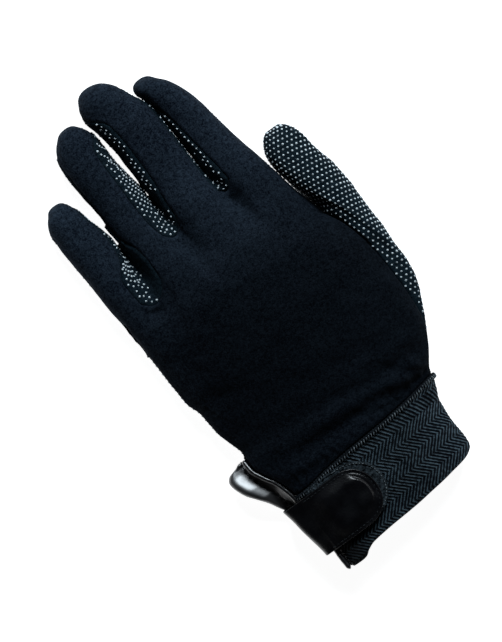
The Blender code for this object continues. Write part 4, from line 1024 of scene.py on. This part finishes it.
def latticeDots(place, flat):
    # A dot sits where a lattice point falls inside a triangle of the flat cloth
    pitch = dots["pitch"]
    c, s = math.cos(dots["turn"]), math.sin(dots["turn"])
    turned = flat @ np.array([[c, s], [-s, c]])
    corner = gridFaces(flat.shape[:2])
    triangles = np.concatenate([corner[:, [0, 1, 2]], corner[:, [0, 2, 3]]])
    uv = turned.reshape(-1, 2)[triangles]
    ids = place.reshape(-1)[triangles]
    spots, normals = [], []
    step = np.array([pitch, pitch * math.sqrt(3)])
    for shift in ((0.0, 0.0), (0.5, 0.5)):
        nearest = (np.round(uv.mean(axis=1) / step - shift) + shift) * step
        a, b, o = uv[:, 1] - uv[:, 0], uv[:, 2] - uv[:, 0], nearest - uv[:, 0]
        area = a[:, 0] * b[:, 1] - a[:, 1] * b[:, 0]
        area = np.where(np.abs(area) < 1e-14, 1e-14, area)
        u = (o[:, 0] * b[:, 1] - o[:, 1] * b[:, 0]) / area
        v = (a[:, 0] * o[:, 1] - a[:, 1] * o[:, 0]) / area
        inside = (u >= 0) & (v >= 0) & (u + v < 1)
        weight = np.stack([1 - u - v, u, v], axis=1)[inside]
        seam = (skinSeam[ids[inside]] * weight).sum(axis=1)
        spot = (skinMoved[ids[inside]] * weight[..., None]).sum(axis=1)
        normal = (skinNormal[ids[inside]] * weight[..., None]).sum(axis=1)
        keep = seam > dots["clear"]
        spots.append(spot[keep])
        normals.append(normal[keep])
    return np.concatenate(spots), np.concatenate(normals)


def domes(name, spots, normals, material, radius, height, sides):
    # Low round domes: two rings and a crown for each, as one array
    normals = normals / np.linalg.norm(normals, axis=1, keepdims=True)
    helper = np.where(np.abs(normals[:, 2:]) < 0.9, [[0.0, 0.0, 1.0]], [[1.0, 0.0, 0.0]])
    side = np.cross(helper, normals)
    side /= np.linalg.norm(side, axis=1, keepdims=True)
    front = np.cross(normals, side)
    turn = 2 * math.pi * np.arange(sides) / sides
    circle = side[:, None] * np.cos(turn)[None, :, None] + front[:, None] * np.sin(turn)[None, :, None]
    dice = np.random.default_rng(5)
    grow = (radius * dice.uniform(*dots["spread"], len(spots)))[:, None, None]
    inward, upward = dots["shoulder"]
    low = spots[:, None] + circle * grow - normals[:, None] * dots["sink"]
    high = spots[:, None] + circle * grow * inward + normals[:, None] * height * upward
    crown = (spots + normals * height)[:, None]
    points = np.concatenate([low, high, crown], axis=1)
    k = np.arange(sides)
    n = (k + 1) % sides
    ring = np.stack([k, n, n + sides, k + sides], axis=1)
    cap = np.stack([k + sides, n + sides, np.full(sides, 2 * sides), np.full(sides, 2 * sides)], axis=1)
    one = np.concatenate([ring, cap])
    faces = (one[None] + (2 * sides + 1) * np.arange(len(spots))[:, None, None]).reshape(-1, 4)
    item = toMesh(name, points.reshape(-1, 3), faces, material)
    return item


def clothPlaces(name, grid):
    # The cloth unrolled row by row; on the fingers' walls layFlat then makes it true
    if name == "palm_panel":
        middle = grid.shape[1] // 2
        run = arcLength(grid, 1)
        run = run - run[:, middle:middle + 1]
        heading = np.sign(grid[:, -1:, 0] - grid[:, :1, 0])
        return np.stack([grid[:, middle:middle + 1, 0] + run * heading, grid[..., 1]], axis=-1)
    return np.stack([arcLength(grid, 1), arcLength(grid, 0)], axis=-1)


dotSpots = {name: [] for name in panelNames if name != "back_panel"}
for number, (name, kind, grid, flip) in enumerate(patches):
    if name == "back_panel":
        continue
    place = patchPlace[number]
    shape = skinMoved[place]
    if name == "thumb":
        half = grid.shape[1] // 2
        for part in (slice(0, half + 1), slice(half, None)):
            coarse = shape[::2, part][:, ::2]
            flat = layFlat(coarse, opened(coarse, part.start == half))
            dotSpots[name].append(latticeDots(place[:, part], filledIn(flat, *place[:, part].shape)))
    else:
        flat = clothPlaces(name, shape)
        if kind in ("radial", "ulnar"):
            flat = layFlat(shape, flat)
        dotSpots[name].append(latticeDots(place, flat))
total = 0
for name, found in dotSpots.items():
    spots, normals = np.concatenate([a for a, _ in found]), np.concatenate([b for _, b in found])
    if name.startswith("fourchette"):
        # The real walls are dotted all over; on walls that face the little finger the dots below the upper
        # edge are left out, as painted shade where those walls lie in shadow
        normals /= np.linalg.norm(normals, axis=1, keepdims=True)
        rise = dots["deepRise"] if name.endswith("little_ring") else dots["edgeRise"]
        seen = (normals[:, 0] > -0.25) | (normals[:, 2] > rise) | (normals[:, 2] < -0.1)
        spots, normals = spots[seen], normals[seen]
    domes(titles[name].replace("Cloth", "") + "Dots", spots, normals, silicone,
          dots["radius"], dots["height"], dots["sides"])
    total += len(spots)
print("grip dots ready:", total)

# Cuff: wide elastic whose woven ribs run in zigzags round the wrist
cuff = {
    "wall": 0.0018, "columns": 560, "rows": 130, "gap": 0.0008, "roll": 0.0009, "rest": 0.0009,
    "middle": -0.02, "wristShare": 0.8684, "narrowIn": 3,
    "sink": 0.0001, "swell": 0.0004, "swellSize": 0.018,
    "ribPitch": 0.00200, "ribDepth": 0.00030, "zigHalf": 0.0059, "zigFirst": 0.0210, "threadPitch": 0.0007,
    # The next row places painted shade in the fold below the tab and painted light on the thumb's side of
    # the ribs' colour
    "paintedFoldShade": 0.72, "foldX": -0.018, "foldY": 0.014, "paintedSideLight": 0.28, "brightX": 0.014, "brightRun": 0.020,
}


def narrowed(x, share):
    # The cuff draws the hand's sides in over its first third
    middle = cuff["middle"] * handWidth
    narrow = hand["cuffWidth"] / (cuff["wristShare"] * handWidth)
    return middle + (x - middle) * mix(1.0, narrow, ease(share * cuff["narrowIn"]))


def cuffHalf(across, share, back):
    # One half of the cuff's ring, share 0 at the jersey's seam and 1 at the wrist end
    place = mix(*cuffSpan, across)
    seam = hand["cuffLength"] * read(cuffEnds, "seam", place, "across") - cuff["gap"]
    wrist = hand["cuffLength"] * read(cuffEnds, "wrist", place, "across")
    points = bodyPoint(across * np.ones_like(share), mix(seam, wrist, share), back)
    points[..., 0] = narrowed(points[..., 0], share)
    return points


def cuffRing(columns, rows):
    # The ring unrolled: even steps round the wrist, found from its length at half its width
    dense = 0.5 * (1 - np.cos(math.pi * np.linspace(0, 1, 600)))

    def wholeRing(across, share):
        back, palm = cuffHalf(across, share, True), cuffHalf(across, share, False)
        return np.concatenate([back, palm[:, ::-1][:, 1:]], axis=1)

    line = wholeRing(dense[None, :], np.full((1, 1), 0.5))
    run = arcLength(line, 1)[0]
    position = np.concatenate([dense, 2 - dense[::-1][1:]])
    even = np.interp(np.linspace(0, run[-1], columns + 1), run, position)
    inset = 0.8 * cuff["roll"] / hand["cuffLength"]
    share = np.linspace(inset, 1 - inset, rows + 1)[:, None]
    back = cuffHalf(np.clip(even, 0, 1)[None, :], share, True)
    palm = cuffHalf(np.clip(2 - even, 0, 1)[None, :], share, False)
    return np.where((even <= 1)[None, :, None], back, palm)


def pressed(points):
    # 1 where the surface lies on the floor, 0 from 3.5 mm above it
    return ease((0.0035 - points[..., 2]) / 0.0030)


def rolledEdge(row, normal, way):
    # A long edge of the cuff rolls over in half a circle to the lining inside
    radius = 0.5 * cuff["wall"]
    return np.array([row - normal * radius + normal * radius * math.cos(a)
                     + np.array([0, way, 0]) * cuff["roll"] * 0.8 * math.sin(a)
                     for a in np.linspace(0, math.pi, 7)[1:]])


def makeCuff():
    shrink = 1.0
    grid = cuffRing(int(cuff["columns"] * shrink), int(cuff["rows"] * shrink))
    rows, columns = grid.shape[:2]
    faces = gridFaces((rows, columns), True)
    normal = vertexNormals(grid.reshape(-1, 3), faces).reshape(grid.shape)
    y = grid[..., 1]
    # The rib count rises by one each pitch round the wrist and swings with a triangle wave of y
    zigzag = 2 * np.abs((y - cuff["zigFirst"]) / (2 * cuff["zigHalf"]) % 1.0 - 0.5)
    along = arcLength(grid[rows // 2], 0)[None, :] + 0 * y
    turn = (along - zigzag * cuff["zigHalf"]) / cuff["ribPitch"]
    edgeFade = ease(np.minimum(np.arange(rows), np.arange(rows)[::-1]) / (4.0 * shrink))[:, None]
    height = cuff["ribDepth"] * (0.5 + 0.5 * np.cos(2 * math.pi * turn)) * edgeFade
    swell = cuff["swell"] * waves(grid, cuff["swellSize"], 21)
    outer = grid + normal * (height + swell - cuff["sink"])[..., None]
    outer[..., 2] += cuff["rest"] * pressed(grid)
    first = rolledEdge(outer[0], normal[0], 1)[::-1]
    last = rolledEdge(outer[-1], normal[-1], -1)
    surface = np.concatenate([first, outer, last])
    turnAll = np.pad(turn, ((len(first), len(last)), (0, 0)), mode="edge")
    threadAll = surface[..., 1] / cuff["threadPitch"]
    # Painted shade darkens the ribs' colour in the fold below the tab, and painted light brightens it on
    # the thumb's side, where the key light falls
    paintedFoldShade = ease((cuff["foldX"] - surface[..., 0]) / 0.012) * ease((cuff["foldY"] - surface[..., 1]) / 0.008)
    paintedSideLight = ease((surface[..., 0] - cuff["brightX"]) / cuff["brightRun"])
    tone = 1 - cuff["paintedFoldShade"] * paintedFoldShade + cuff["paintedSideLight"] * paintedSideLight
    item = toMesh("cuffElastic", surface.reshape(-1, 3), gridFaces(surface.shape[:2], True), ribbed,
                  "cuff_band", {"ribTurn": turnAll.reshape(-1), "ribThread": threadAll.reshape(-1),
                                "tone": tone.reshape(-1)})
    inner = (grid - normal * cuff["wall"])[::4, ::4]
    inner = np.concatenate([inner, (grid[-1:] - normal[-1:] * cuff["wall"])[:, ::4]])
    lining = toMesh("cuffLiningCloth", inner.reshape(-1, 3), gridFaces(inner.shape[:2], False), linen)
    return grid, normal


cuffGrid, cuffNormal = makeCuff()
print("cuff ready")


def readAt(at, run, values):
    # Places or directions given along a run, read at other stations of it
    return np.stack([np.interp(at, run, values[:, k]) for k in range(3)], axis=1)


def alongPath(path, normals, pitch):
    # Even stations on a path: places, headings and normals
    run = arcLength(path, 0)
    at = np.arange(pitch / 2, run[-1] - pitch / 2, pitch)
    spot = readAt(at, run, path)
    heading = readAt(at + 1e-4, run, path) - readAt(at - 1e-4, run, path)
    heading /= np.maximum(np.linalg.norm(heading, axis=1, keepdims=True), 1e-12)
    normal = readAt(at, run, normals)
    normal -= heading * (normal * heading).sum(axis=1, keepdims=True)
    normal /= np.maximum(np.linalg.norm(normal, axis=1, keepdims=True), 1e-12)
    return spot, heading, normal


def stitches(name, runs, length, radius, material, slant=0.0):
    # Thread loops: a capsule whose ends dive into the cloth, for every station at once
    parts, faces, start = [], [], 0
    u = np.array([-1.0, -0.72, -0.25, 0.25, 0.72, 1.0])
    fat = np.array([0.45, 0.9, 1.0, 1.0, 0.9, 0.45])
    sides = 6
    turn = 2 * math.pi * np.arange(sides) / sides
    for spot, heading, normal in runs:
        side = np.cross(normal, heading)
        heading = heading * math.cos(slant) + side * math.sin(slant)
        side = np.cross(normal, heading)
        centre = (spot[:, None] + heading[:, None] * (0.5 * length * u)[None, :, None]
                  + normal[:, None] * (radius * (0.55 - 1.5 * u ** 4))[None, :, None])
        ring = side[:, None] * np.cos(turn)[None, :, None] + normal[:, None] * np.sin(turn)[None, :, None]
        points = centre[:, :, None] + ring[:, None] * (radius * fat)[None, :, None, None]
        count = len(spot)
        one = []
        ids = np.arange(len(u) * sides).reshape(len(u), sides)
        nextIds = np.roll(ids, -1, axis=1)
        one.append(np.stack([ids[:-1], nextIds[:-1], nextIds[1:], ids[1:]], axis=-1).reshape(-1, 4))
        for row, flip in ((0, True), (len(u) - 1, False)):
            for k in range(1, sides - 2, 2):
                quad = [row * sides, row * sides + k, row * sides + k + 1, row * sides + k + 2]
                one.append(np.array([quad[::-1] if flip else quad]))
        one = np.concatenate(one)
        faces.append((one[None] + len(u) * sides * np.arange(count)[:, None, None]).reshape(-1, 4) + start)
        parts.append(points.reshape(-1, 3))
        start += count * len(u) * sides
    item = toMesh(name, np.concatenate(parts), np.concatenate(faces), material)
    return item


def tube(name, path, normals, radius, material, sides, twist, strand, pitch, piece=None):
    # A cord along a path: radius times one plus a twisted strand wave; the ends close to a point
    run = arcLength(path, 0)
    heading = np.gradient(path, axis=0)
    heading /= np.linalg.norm(heading, axis=1, keepdims=True)
    normal = normals - heading * (normals * heading).sum(axis=1, keepdims=True)
    normal /= np.linalg.norm(normal, axis=1, keepdims=True)
    side = np.cross(normal, heading)
    angle = 2 * math.pi * np.arange(sides + 1) / sides
    wave = 1 + strand * np.cos(twist * angle[None, :] + 2 * math.pi * run[:, None] / pitch)
    close = np.sqrt(np.clip(np.minimum(run, run[-1] - run) / (1.2 * radius), 0.0, 1.0))
    size = radius * wave * close[:, None]
    points = (path[:, None] + side[:, None] * (np.cos(angle)[None, :] * size)[..., None]
              + normal[:, None] * (np.sin(angle)[None, :] * size)[..., None])
    points[:, -1] = points[:, 0]
    faces = gridFaces(points.shape[:2], True)
    flat = points.reshape(-1, 3)
    ids = np.arange(len(flat)).reshape(points.shape[:2])
    ids[:, -1] = ids[:, 0]
    faces = ids.reshape(-1)[faces]
    item = toMesh(name, flat, faces, material, piece)
    return item


def smoothPath(path, normals, count):
    # The same path at even steps
    run = arcLength(path, 0)
    at = np.linspace(0, run[-1], count)
    return readAt(at, run, path), readAt(at, run, normals)


# Overlocked seam between the jersey and the elastic, a twisted ridge all round
overlock = {
    "radius": 0.00085, "pitch": 0.0013, "strand": 0.20, "rows": 900, "out": 0.0004, "over": 0.0006,
    "loop": 0.0022, "loopPitch": 0.0014, "loopRadius": 0.00030, "slant": math.radians(62), "rest": 0.0013,
}


def makeOverlock():
    over = np.array([0, overlock["over"], 0])
    path = cuffGrid[0] + cuffNormal[0] * overlock["out"] + over
    path[:, 2] += overlock["rest"] * pressed(path)
    path, normals = smoothPath(path, cuffNormal[0], overlock["rows"] // (1))
    tube("cuffOverlock", path, normals, overlock["radius"], linen, 12, 1.0,
         overlock["strand"], overlock["pitch"])
    loops = alongPath(path + normals * 0.7 * overlock["radius"] - over, normals, overlock["loopPitch"])
    stitches("cuffOverlockLoops", [loops], overlock["loop"], overlock["loopRadius"], thread,
             overlock["slant"])


makeOverlock()

# Closure: leather tab over the loop patch, from the palm side round the ulnar edge
tab = {
    "width": 0.0272, "length": 0.0385, "place": 0.515, "root": -0.504, "tipInset": 0.003, "start": -0.40,
    "corner": 0.91, "leather": 0.0015, "gap": 0.0004, "rim": 0.0037, "pad": 0.0011,
    "evening": 16, "evenRows": 60, "bridgeFrom": -0.031, "bridgeSlope": 0.30, "cells": (120, 50, 150),
    "pile": 0.0012, "patchMargin": 0.0045, "patchSide": 0.0010, "patchShift": 0.0013,
    "patchStart": 0.04, "patchCells": (110, 0, 110), "patchStitchIn": 0.0009, "patchStitch": 0.0015,
    "stitch": 0.0021, "stitchIn": 0.0014, "groove": 0.00028, "grooveHalf": 0.0005,
    "padStep": (0.006, 0.0012), "swell": 0.00018, "swellSize": 0.012,
    "dent": 0.00036, "dentPlace": (-0.017, 0.012), "dentHalf": (0.008, 0.006),
}
tabBend = shapeTable(
    "turn x z", (0.00, 0.070, 0.13), (0.16, 0.128, 0.24), (0.32, 0.176, 0.40), (0.48, 0.196, 0.60),
    (0.62, 0.192, 0.78), (0.76, 0.158, 0.91), (0.88, 0.062, 0.975), (1.00, -0.060, 1.005))


def topHeight(x, y):
    # Height of the cuff's outer face over a place on the back
    leftX, rightX = ulnarEdge(y, True)[0], radialEdge(y, True)[0]
    return bodyPoint(np.clip((x - leftX) / (rightX - leftX), 0.0, 1.0), y, True)[..., 2]


def bridgeHeight(x, y):
    # The leather is stiff: near the wrist's edge it runs on straight instead of following the cuff
    held = np.maximum(x, tab["bridgeFrom"])
    return topHeight(held, y) - tab["bridgeSlope"] * (held - x)


def tabOutline(grow, side):
    # Half width, length of the round end, where its tip lies and its middle line
    middle = tab["place"] * hand["cuffLength"] + (tab["patchShift"] if side > 0 else 0.0)
    return (0.5 * tab["width"] + side, 0.5 * tab["width"] + grow,
            tab["root"] * hand["cuffWidth"] + tab["length"] - tab["tipInset"] + grow, middle)


def tabGrid(grow, side, lift, wrap, columns, turns, runs):
    # Rows round the wrist's edge, then ruled lines from a straight start to the round end
    w = np.linspace(-1, 1, columns + 1)[None, :]
    half, reach, tipX, middle = tabOutline(grow, side)
    startX = tab["start"] * handWidth + (0.0 if wrap else tab["patchStart"] * hand["cuffWidth"])
    parts = []
    if wrap:
        turn = np.linspace(0, 1, turns + 1)[:-1, None]
        y = middle + w * half + 0 * turn
        edge = ulnarEdge(y, False)[0]
        x = mix(edge - tab["width"] * read(tabBend, "x", turn, "turn"), startX, ease((turn - 0.72) / 0.28))
        z = hand["cuffHeight"] * read(tabBend, "z", turn, "turn")
        rise = bridgeHeight(np.full_like(y, startX), y) + lift - hand["cuffHeight"] * tabBend["z"][-1]
        parts.append(np.stack([x, y, z + rise * ease(turn)], axis=-1))
    run = np.linspace(0, 1, runs + 1)[:, None]
    angle = 0.5 * math.pi * w
    x = mix(startX, tipX - reach + reach * np.cos(angle) ** tab["corner"], run)
    y = middle + half * mix(w, signedPower(np.sin(angle), tab["corner"]), run)
    parts.append(np.stack([x, y, bridgeHeight(x, y) + lift], axis=-1))
    grid = np.concatenate(parts)
    # The bend at the wrist's edge is rounded by evening the rows out
    last = turns + tab["evenRows"]
    for _ in range(tab["evening"] if wrap else 0):
        grid[1:last] = 0.5 * grid[1:last] + 0.25 * (grid[:last - 1] + grid[2:last + 1])
    return grid


def tabEdge(grid, grow, side):
    # Distance in from the tab's outline, seen flat: its long sides and its round end
    half, reach, tipX, middle = tabOutline(grow, side)
    dx = np.maximum(grid[..., 0] - (tipX - reach), 0.0) / reach
    dy = np.abs(grid[..., 1] - middle) / half
    return half * (1 - (dx ** 2.2 + dy ** 2.2) ** (1 / 2.2))


def raiseGrid(grid, height, flip):
    normal = vertexNormals(grid.reshape(-1, 3), gridFaces(grid.shape[:2], flip)).reshape(grid.shape)
    return grid + normal * height[..., None], normal


def roundedEdge(distance, width, drop):
    # Quarter round along an edge: the whole drop at the edge, none from width inwards
    return drop * (1 - np.sqrt(np.clip(1 - (1 - np.clip(distance / width, 0, 1)) ** 2, 0, 1)))


def makeTab():
    patchLift = tab["gap"] + tab["pile"]
    tabLift = patchLift + tab["gap"] + tab["leather"]
    patch = tabGrid(tab["patchMargin"], tab["patchSide"], patchLift, False, *tab["patchCells"])
    inPatch = tabEdge(patch, tab["patchMargin"], tab["patchSide"])
    groove = 0.00025 * bell((inPatch - 0.0012) / 0.0004)
    tufts = 0.00012 * waves(patch, 0.0014, 31)
    patch, patchNormal = raiseGrid(patch, tufts - roundedEdge(inPatch, 0.0010, 0.0006) - groove, True)
    cells = gridFaces(patch.shape[:2], True)
    item = toMesh("loopPatchPile", patch.reshape(-1, 3), cells, pile, "loop_patch")
    giveWall(item, tab["pile"])

    grid = tabGrid(0.0, 0.0, tabLift, True, *tab["cells"])
    inTab = tabEdge(grid, 0.0, 0.0)
    x, y = grid[..., 0], grid[..., 1]
    # The hook pad behind lifts the middle; its step shows only near the round end
    strong = ease((x + 0.0148) / 0.003) * ease((y - 0.0125) / 0.006)
    pad = tab["pad"] * ease((inTab - tab["rim"]) / mix(*tab["padStep"], strong) + 0.5)
    pad = pad * ease((x + 0.037) / 0.009)
    groove = tab["groove"] * bell((inTab - tab["stitchIn"]) / tab["grooveHalf"]) * strong
    dentX, dentY = (bell((value - place) / half) for value, place, half
                    in zip((x, y), tab["dentPlace"], tab["dentHalf"]))
    swell = tab["swell"] * waves(grid, tab["swellSize"], 33)
    height = pad - roundedEdge(inTab, 0.0002, 0.0002) - groove - tab["dent"] * dentX * dentY + swell
    grid, normal = raiseGrid(grid, height, True)
    cells = gridFaces(grid.shape[:2], True)
    item = toMesh("closureTabLeather", grid.reshape(-1, 3), cells, trimLeather, "closure_tab")
    giveWall(item, tab["leather"])
    return patch, patchNormal, grid, normal


patchGrid, patchNormal, leatherGrid, leatherNormal = makeTab()


def insetLine(grid, normal, inset, grow, side, startX):
    # The stitch line: for each row the places at one inset from the tab's outline
    half, reach, tipX, middle = tabOutline(grow - inset, side - inset)
    straight = np.linspace(startX, tipX - reach, 60)
    around = np.linspace(-0.5 * math.pi, 0.5 * math.pi, 80)
    bend = tipX - reach + reach * np.cos(around) ** tab["corner"]
    lineX = np.concatenate([straight, bend, straight[::-1]])
    lineY = np.concatenate([
        np.full(60, middle - half), middle + half * signedPower(np.sin(around), tab["corner"]),
        np.full(60, middle + half)])
    flat = grid.reshape(-1, 3)
    usable = flat[:, 0] > startX - 0.002
    spots, normals = flat[usable], normal.reshape(-1, 3)[usable]
    far = (spots[None, :, 0] - lineX[:, None]) ** 2 + (spots[None, :, 1] - lineY[:, None]) ** 2
    near = np.argsort(far, axis=1)[:, :4]
    weight = 1 / (np.take_along_axis(far, near, axis=1) + 1e-9)
    weight /= weight.sum(axis=1, keepdims=True)
    z = (spots[near][..., 2] * weight).sum(axis=1)
    direction = (normals[near] * weight[..., None]).sum(axis=1)
    return np.stack([lineX, lineY, z], axis=1), direction


tabLine, tabLineNormal = insetLine(leatherGrid, leatherNormal, tab["stitchIn"], 0.0, 0.0, -0.0385)
patchLine, patchLineNormal = insetLine(
    patchGrid, patchNormal, tab["patchStitchIn"], tab["patchMargin"], tab["patchSide"], -0.016)
stitches("tabStitches", [alongPath(tabLine, tabLineNormal, tab["stitch"])], 0.0015, 0.00020, darkThread)
stitches("patchStitches", [alongPath(patchLine, patchLineNormal, tab["patchStitch"])], 0.0012, 0.00022,
         thread, 0.0)
print("closure ready")

# Vent: glossy facing on the palm's side and a rolled piping on the back's side
vent = {
    "facingWidth": 0.0100, "slope": 0.45, "leather": 0.0015, "gap": 0.0009, "tuck": 0.0006, "under": 0.0016,
    "topInset": 0.003, "tabLap": 0.0015, "puckerPitch": 0.0031, "pucker": 0.00020,
    "pipingWidth": 0.0023, "pipingGap": 0.0004, "pipingTop": 0.92, "pipingEnd": -0.103, "pipingRows": 260,
    "pipingRise": (-0.3, 1.2), "pipingRiseFrom": 0.010, "pipingRiseRun": 0.008, "pipingIn": 0.0004,
    "pipingUp": (-0.35, 0.0, 0.94),
    "stitchColumn": 16, "stitchPitch": 0.0026,
}
facingShape = shapeTable(
    "along out crest", (0.00, 0.42, 0.34), (0.05, 0.88, 0.38), (0.14, 1.02, 0.43), (0.27, 1.02, 0.51),
    (0.43, 0.97, 0.56), (0.59, 0.79, 0.55), (0.75, 0.58, 0.44), (0.90, 0.45, 0.32), (1.00, 0.34, 0.26))


def makeVent():
    v = np.linspace(0, 1, 110)[:, None]
    t = np.concatenate([np.linspace(-1, 0, 13)[:-1], np.linspace(0, 1, 54)])[None, :]
    top = hand["cuffLength"] + hand["ventLength"] - vent["topInset"]
    bottom = tab["place"] * hand["cuffLength"] + 0.5 * tab["width"] - vent["tabLap"]
    y = mix(top, bottom, v) + 0 * t
    edgeX, edgeZ = ulnarEdge(y, False)
    out = vent["facingWidth"] * read(facingShape, "out", v)
    crest = hand["cuffHeight"] * read(facingShape, "crest", v)
    # Rolled lip outside the palm's edge, and a flange from that edge to under the piping
    backX, backZ = ulnarEdge(y, True)
    lip, flange = np.maximum(t, 0), np.maximum(-t, 0)
    x = mix(edgeX - vent["gap"] - out * lip, backX - vent["tuck"], flange)
    # An even slope up to a crest at two thirds of the width, then the outer edge rolls down
    z = crest - vent["slope"] * out * (0.549 - lip + 0.9 * lip ** 5)
    z = mix(z, backZ - vent["under"], ease(flange))
    grid = np.stack([x, y, z], axis=-1)
    roll = roundedEdge((1 - lip) * out, 0.0009, 0.0006)
    pucker = vent["pucker"] * np.sin(2 * math.pi * y / vent["puckerPitch"]) * bell((t - 0.04) / 0.08)
    grid, normal = raiseGrid(grid, pucker - roll + 0.00006 * waves(grid, 0.011, 41), False)
    cells = gridFaces(grid.shape[:2], False)
    item = toMesh("ventFacingLeather", grid.reshape(-1, 3), cells, glossLeather, "vent_facing")
    giveWall(item, vent["leather"])
    seam = (slice(4, -4), vent["stitchColumn"])
    # The piping follows the back's edge and comes up beside the cuff at the wrist
    count = vent["pipingRows"]
    y = np.linspace(hand["cuffLength"] + vent["pipingTop"] * hand["ventLength"],
                    hand["cuffLength"] * vent["pipingEnd"], count)
    edgeX, edgeZ = ulnarEdge(y, True)
    edgeX = narrowed(edgeX, (hand["cuffLength"] * 0.92 - y) / hand["cuffLength"])
    radius = 0.5 * vent["pipingWidth"]
    low = ease((vent["pipingRiseFrom"] - y) / vent["pipingRiseRun"])
    x = edgeX - radius - vent["pipingGap"] - vent["pipingIn"] * low
    path = np.stack([x, y, edgeZ + mix(*vent["pipingRise"], low) * radius], axis=1)
    up = np.tile([vent["pipingUp"]], (count, 1))
    tube("ventPipingLeather", path, up, radius, pipingLeather, 20, 0.0, 0.02, vent["puckerPitch"],
         "vent_piping")
    stitches("ventStitches", [alongPath(grid[seam], normal[seam], vent["stitchPitch"])], 0.0018, 0.00024,
             thread)


makeVent()
print("vent ready")

# Studio: glowing pale floor, dim surroundings and one soft key light
studio = {
    "floorGlow": 0.955, "floor": 0.60, "floorSize": 4.0, "floorDrop": 0.0004,
    "worldLow": 0.10, "worldHigh": 0.008,
    "keyPlace": (0.68, 0.90, 0.88), "keyTarget": (0, 0.03, 0), "keySize": (0.9, 0.55),
    "keyPower": 22.0, "keyColour": (0.90, 1.0, 1.07),
    "cameraHeight": 1.30, "cameraTurn": 37.0, "centre": (-0.0067, 0.0015), "middle": 0.010,
    "pixel": 0.00045, "rows": 642,
}


def areaLight(name, place, target, size, power, colour):
    # Rectangular light at a place, turned to look at its target
    data = bpy.data.lights.new(name, "AREA")
    data.shape, data.size, data.size_y = "RECTANGLE", size[0], size[1]
    data.energy, data.color = power, colour
    item = bpy.data.objects.new(name, data)
    bpy.context.scene.collection.objects.link(item)
    item.location = place
    heading = np.array(target, dtype=float) - np.array(place, dtype=float)
    heading /= np.linalg.norm(heading)
    yaw = math.atan2(heading[1], heading[0])
    pitch = math.acos(-heading[2])
    item.rotation_euler = (pitch, 0.0, yaw - math.pi / 2)


def makeStudio():
    size = studio["floorSize"]
    mesh = bpy.data.meshes.new("floor")
    corners = [(x * size, y * size, -studio["floorDrop"]) for x, y in ((-1, -1), (1, -1), (1, 1), (-1, 1))]
    mesh.from_pydata(corners, [], [(0, 1, 2, 3)])
    floor = bpy.data.objects.new("floor", mesh)
    bpy.context.scene.collection.objects.link(floor)
    tone = studio["floor"]
    material = startMaterial(
        "paleFloor", Roughness=0.9, Specular_IOR_Level=0.0, Base_Color=(tone, tone, tone, 1),
        Emission_Strength=studio["floorGlow"], Emission_Color=(1, 1, 1, 1))[0]
    mesh.materials.append(material)
    scene = bpy.context.scene
    scene.view_settings.view_transform = "Standard"
    world = bpy.data.worlds.new("studio")
    world.use_nodes = True
    scene.world = world
    tree = world.node_tree
    background = tree.nodes["Background"]
    place = tree.nodes.new("ShaderNodeTexCoord")
    split = tree.nodes.new("ShaderNodeSeparateXYZ")
    tree.links.new(place.outputs["Generated"], split.inputs[0])
    low, high = ((tone, tone, tone, 1) for tone in (studio["worldLow"], studio["worldHigh"]))
    sky = ramp(tree, split.outputs["Z"], [(0.0, low), (0.15, low), (0.55, high)])
    tree.links.new(sky, background.inputs["Color"])
    areaLight("upperKey", studio["keyPlace"], studio["keyTarget"], studio["keySize"],
              studio["keyPower"], studio["keyColour"])
    data = bpy.data.cameras.new("camera")
    data.sensor_fit, data.sensor_height = "VERTICAL", 24.0
    data.clip_start, data.clip_end = 0.05, 20.0
    # One picture row shows one pixel's length at the height of the glove's sides
    x, y = studio["centre"]
    distance = studio["cameraHeight"] - studio["middle"]
    data.lens = data.sensor_height * distance / (studio["rows"] * studio["pixel"])
    camera = bpy.data.objects.new("camera", data)
    scene.collection.objects.link(camera)
    camera.location = (x, y, studio["cameraHeight"])
    camera.rotation_euler = (0.0, 0.0, -math.radians(studio["cameraTurn"]))
    scene.camera = camera


makeStudio()
print("studio ready")
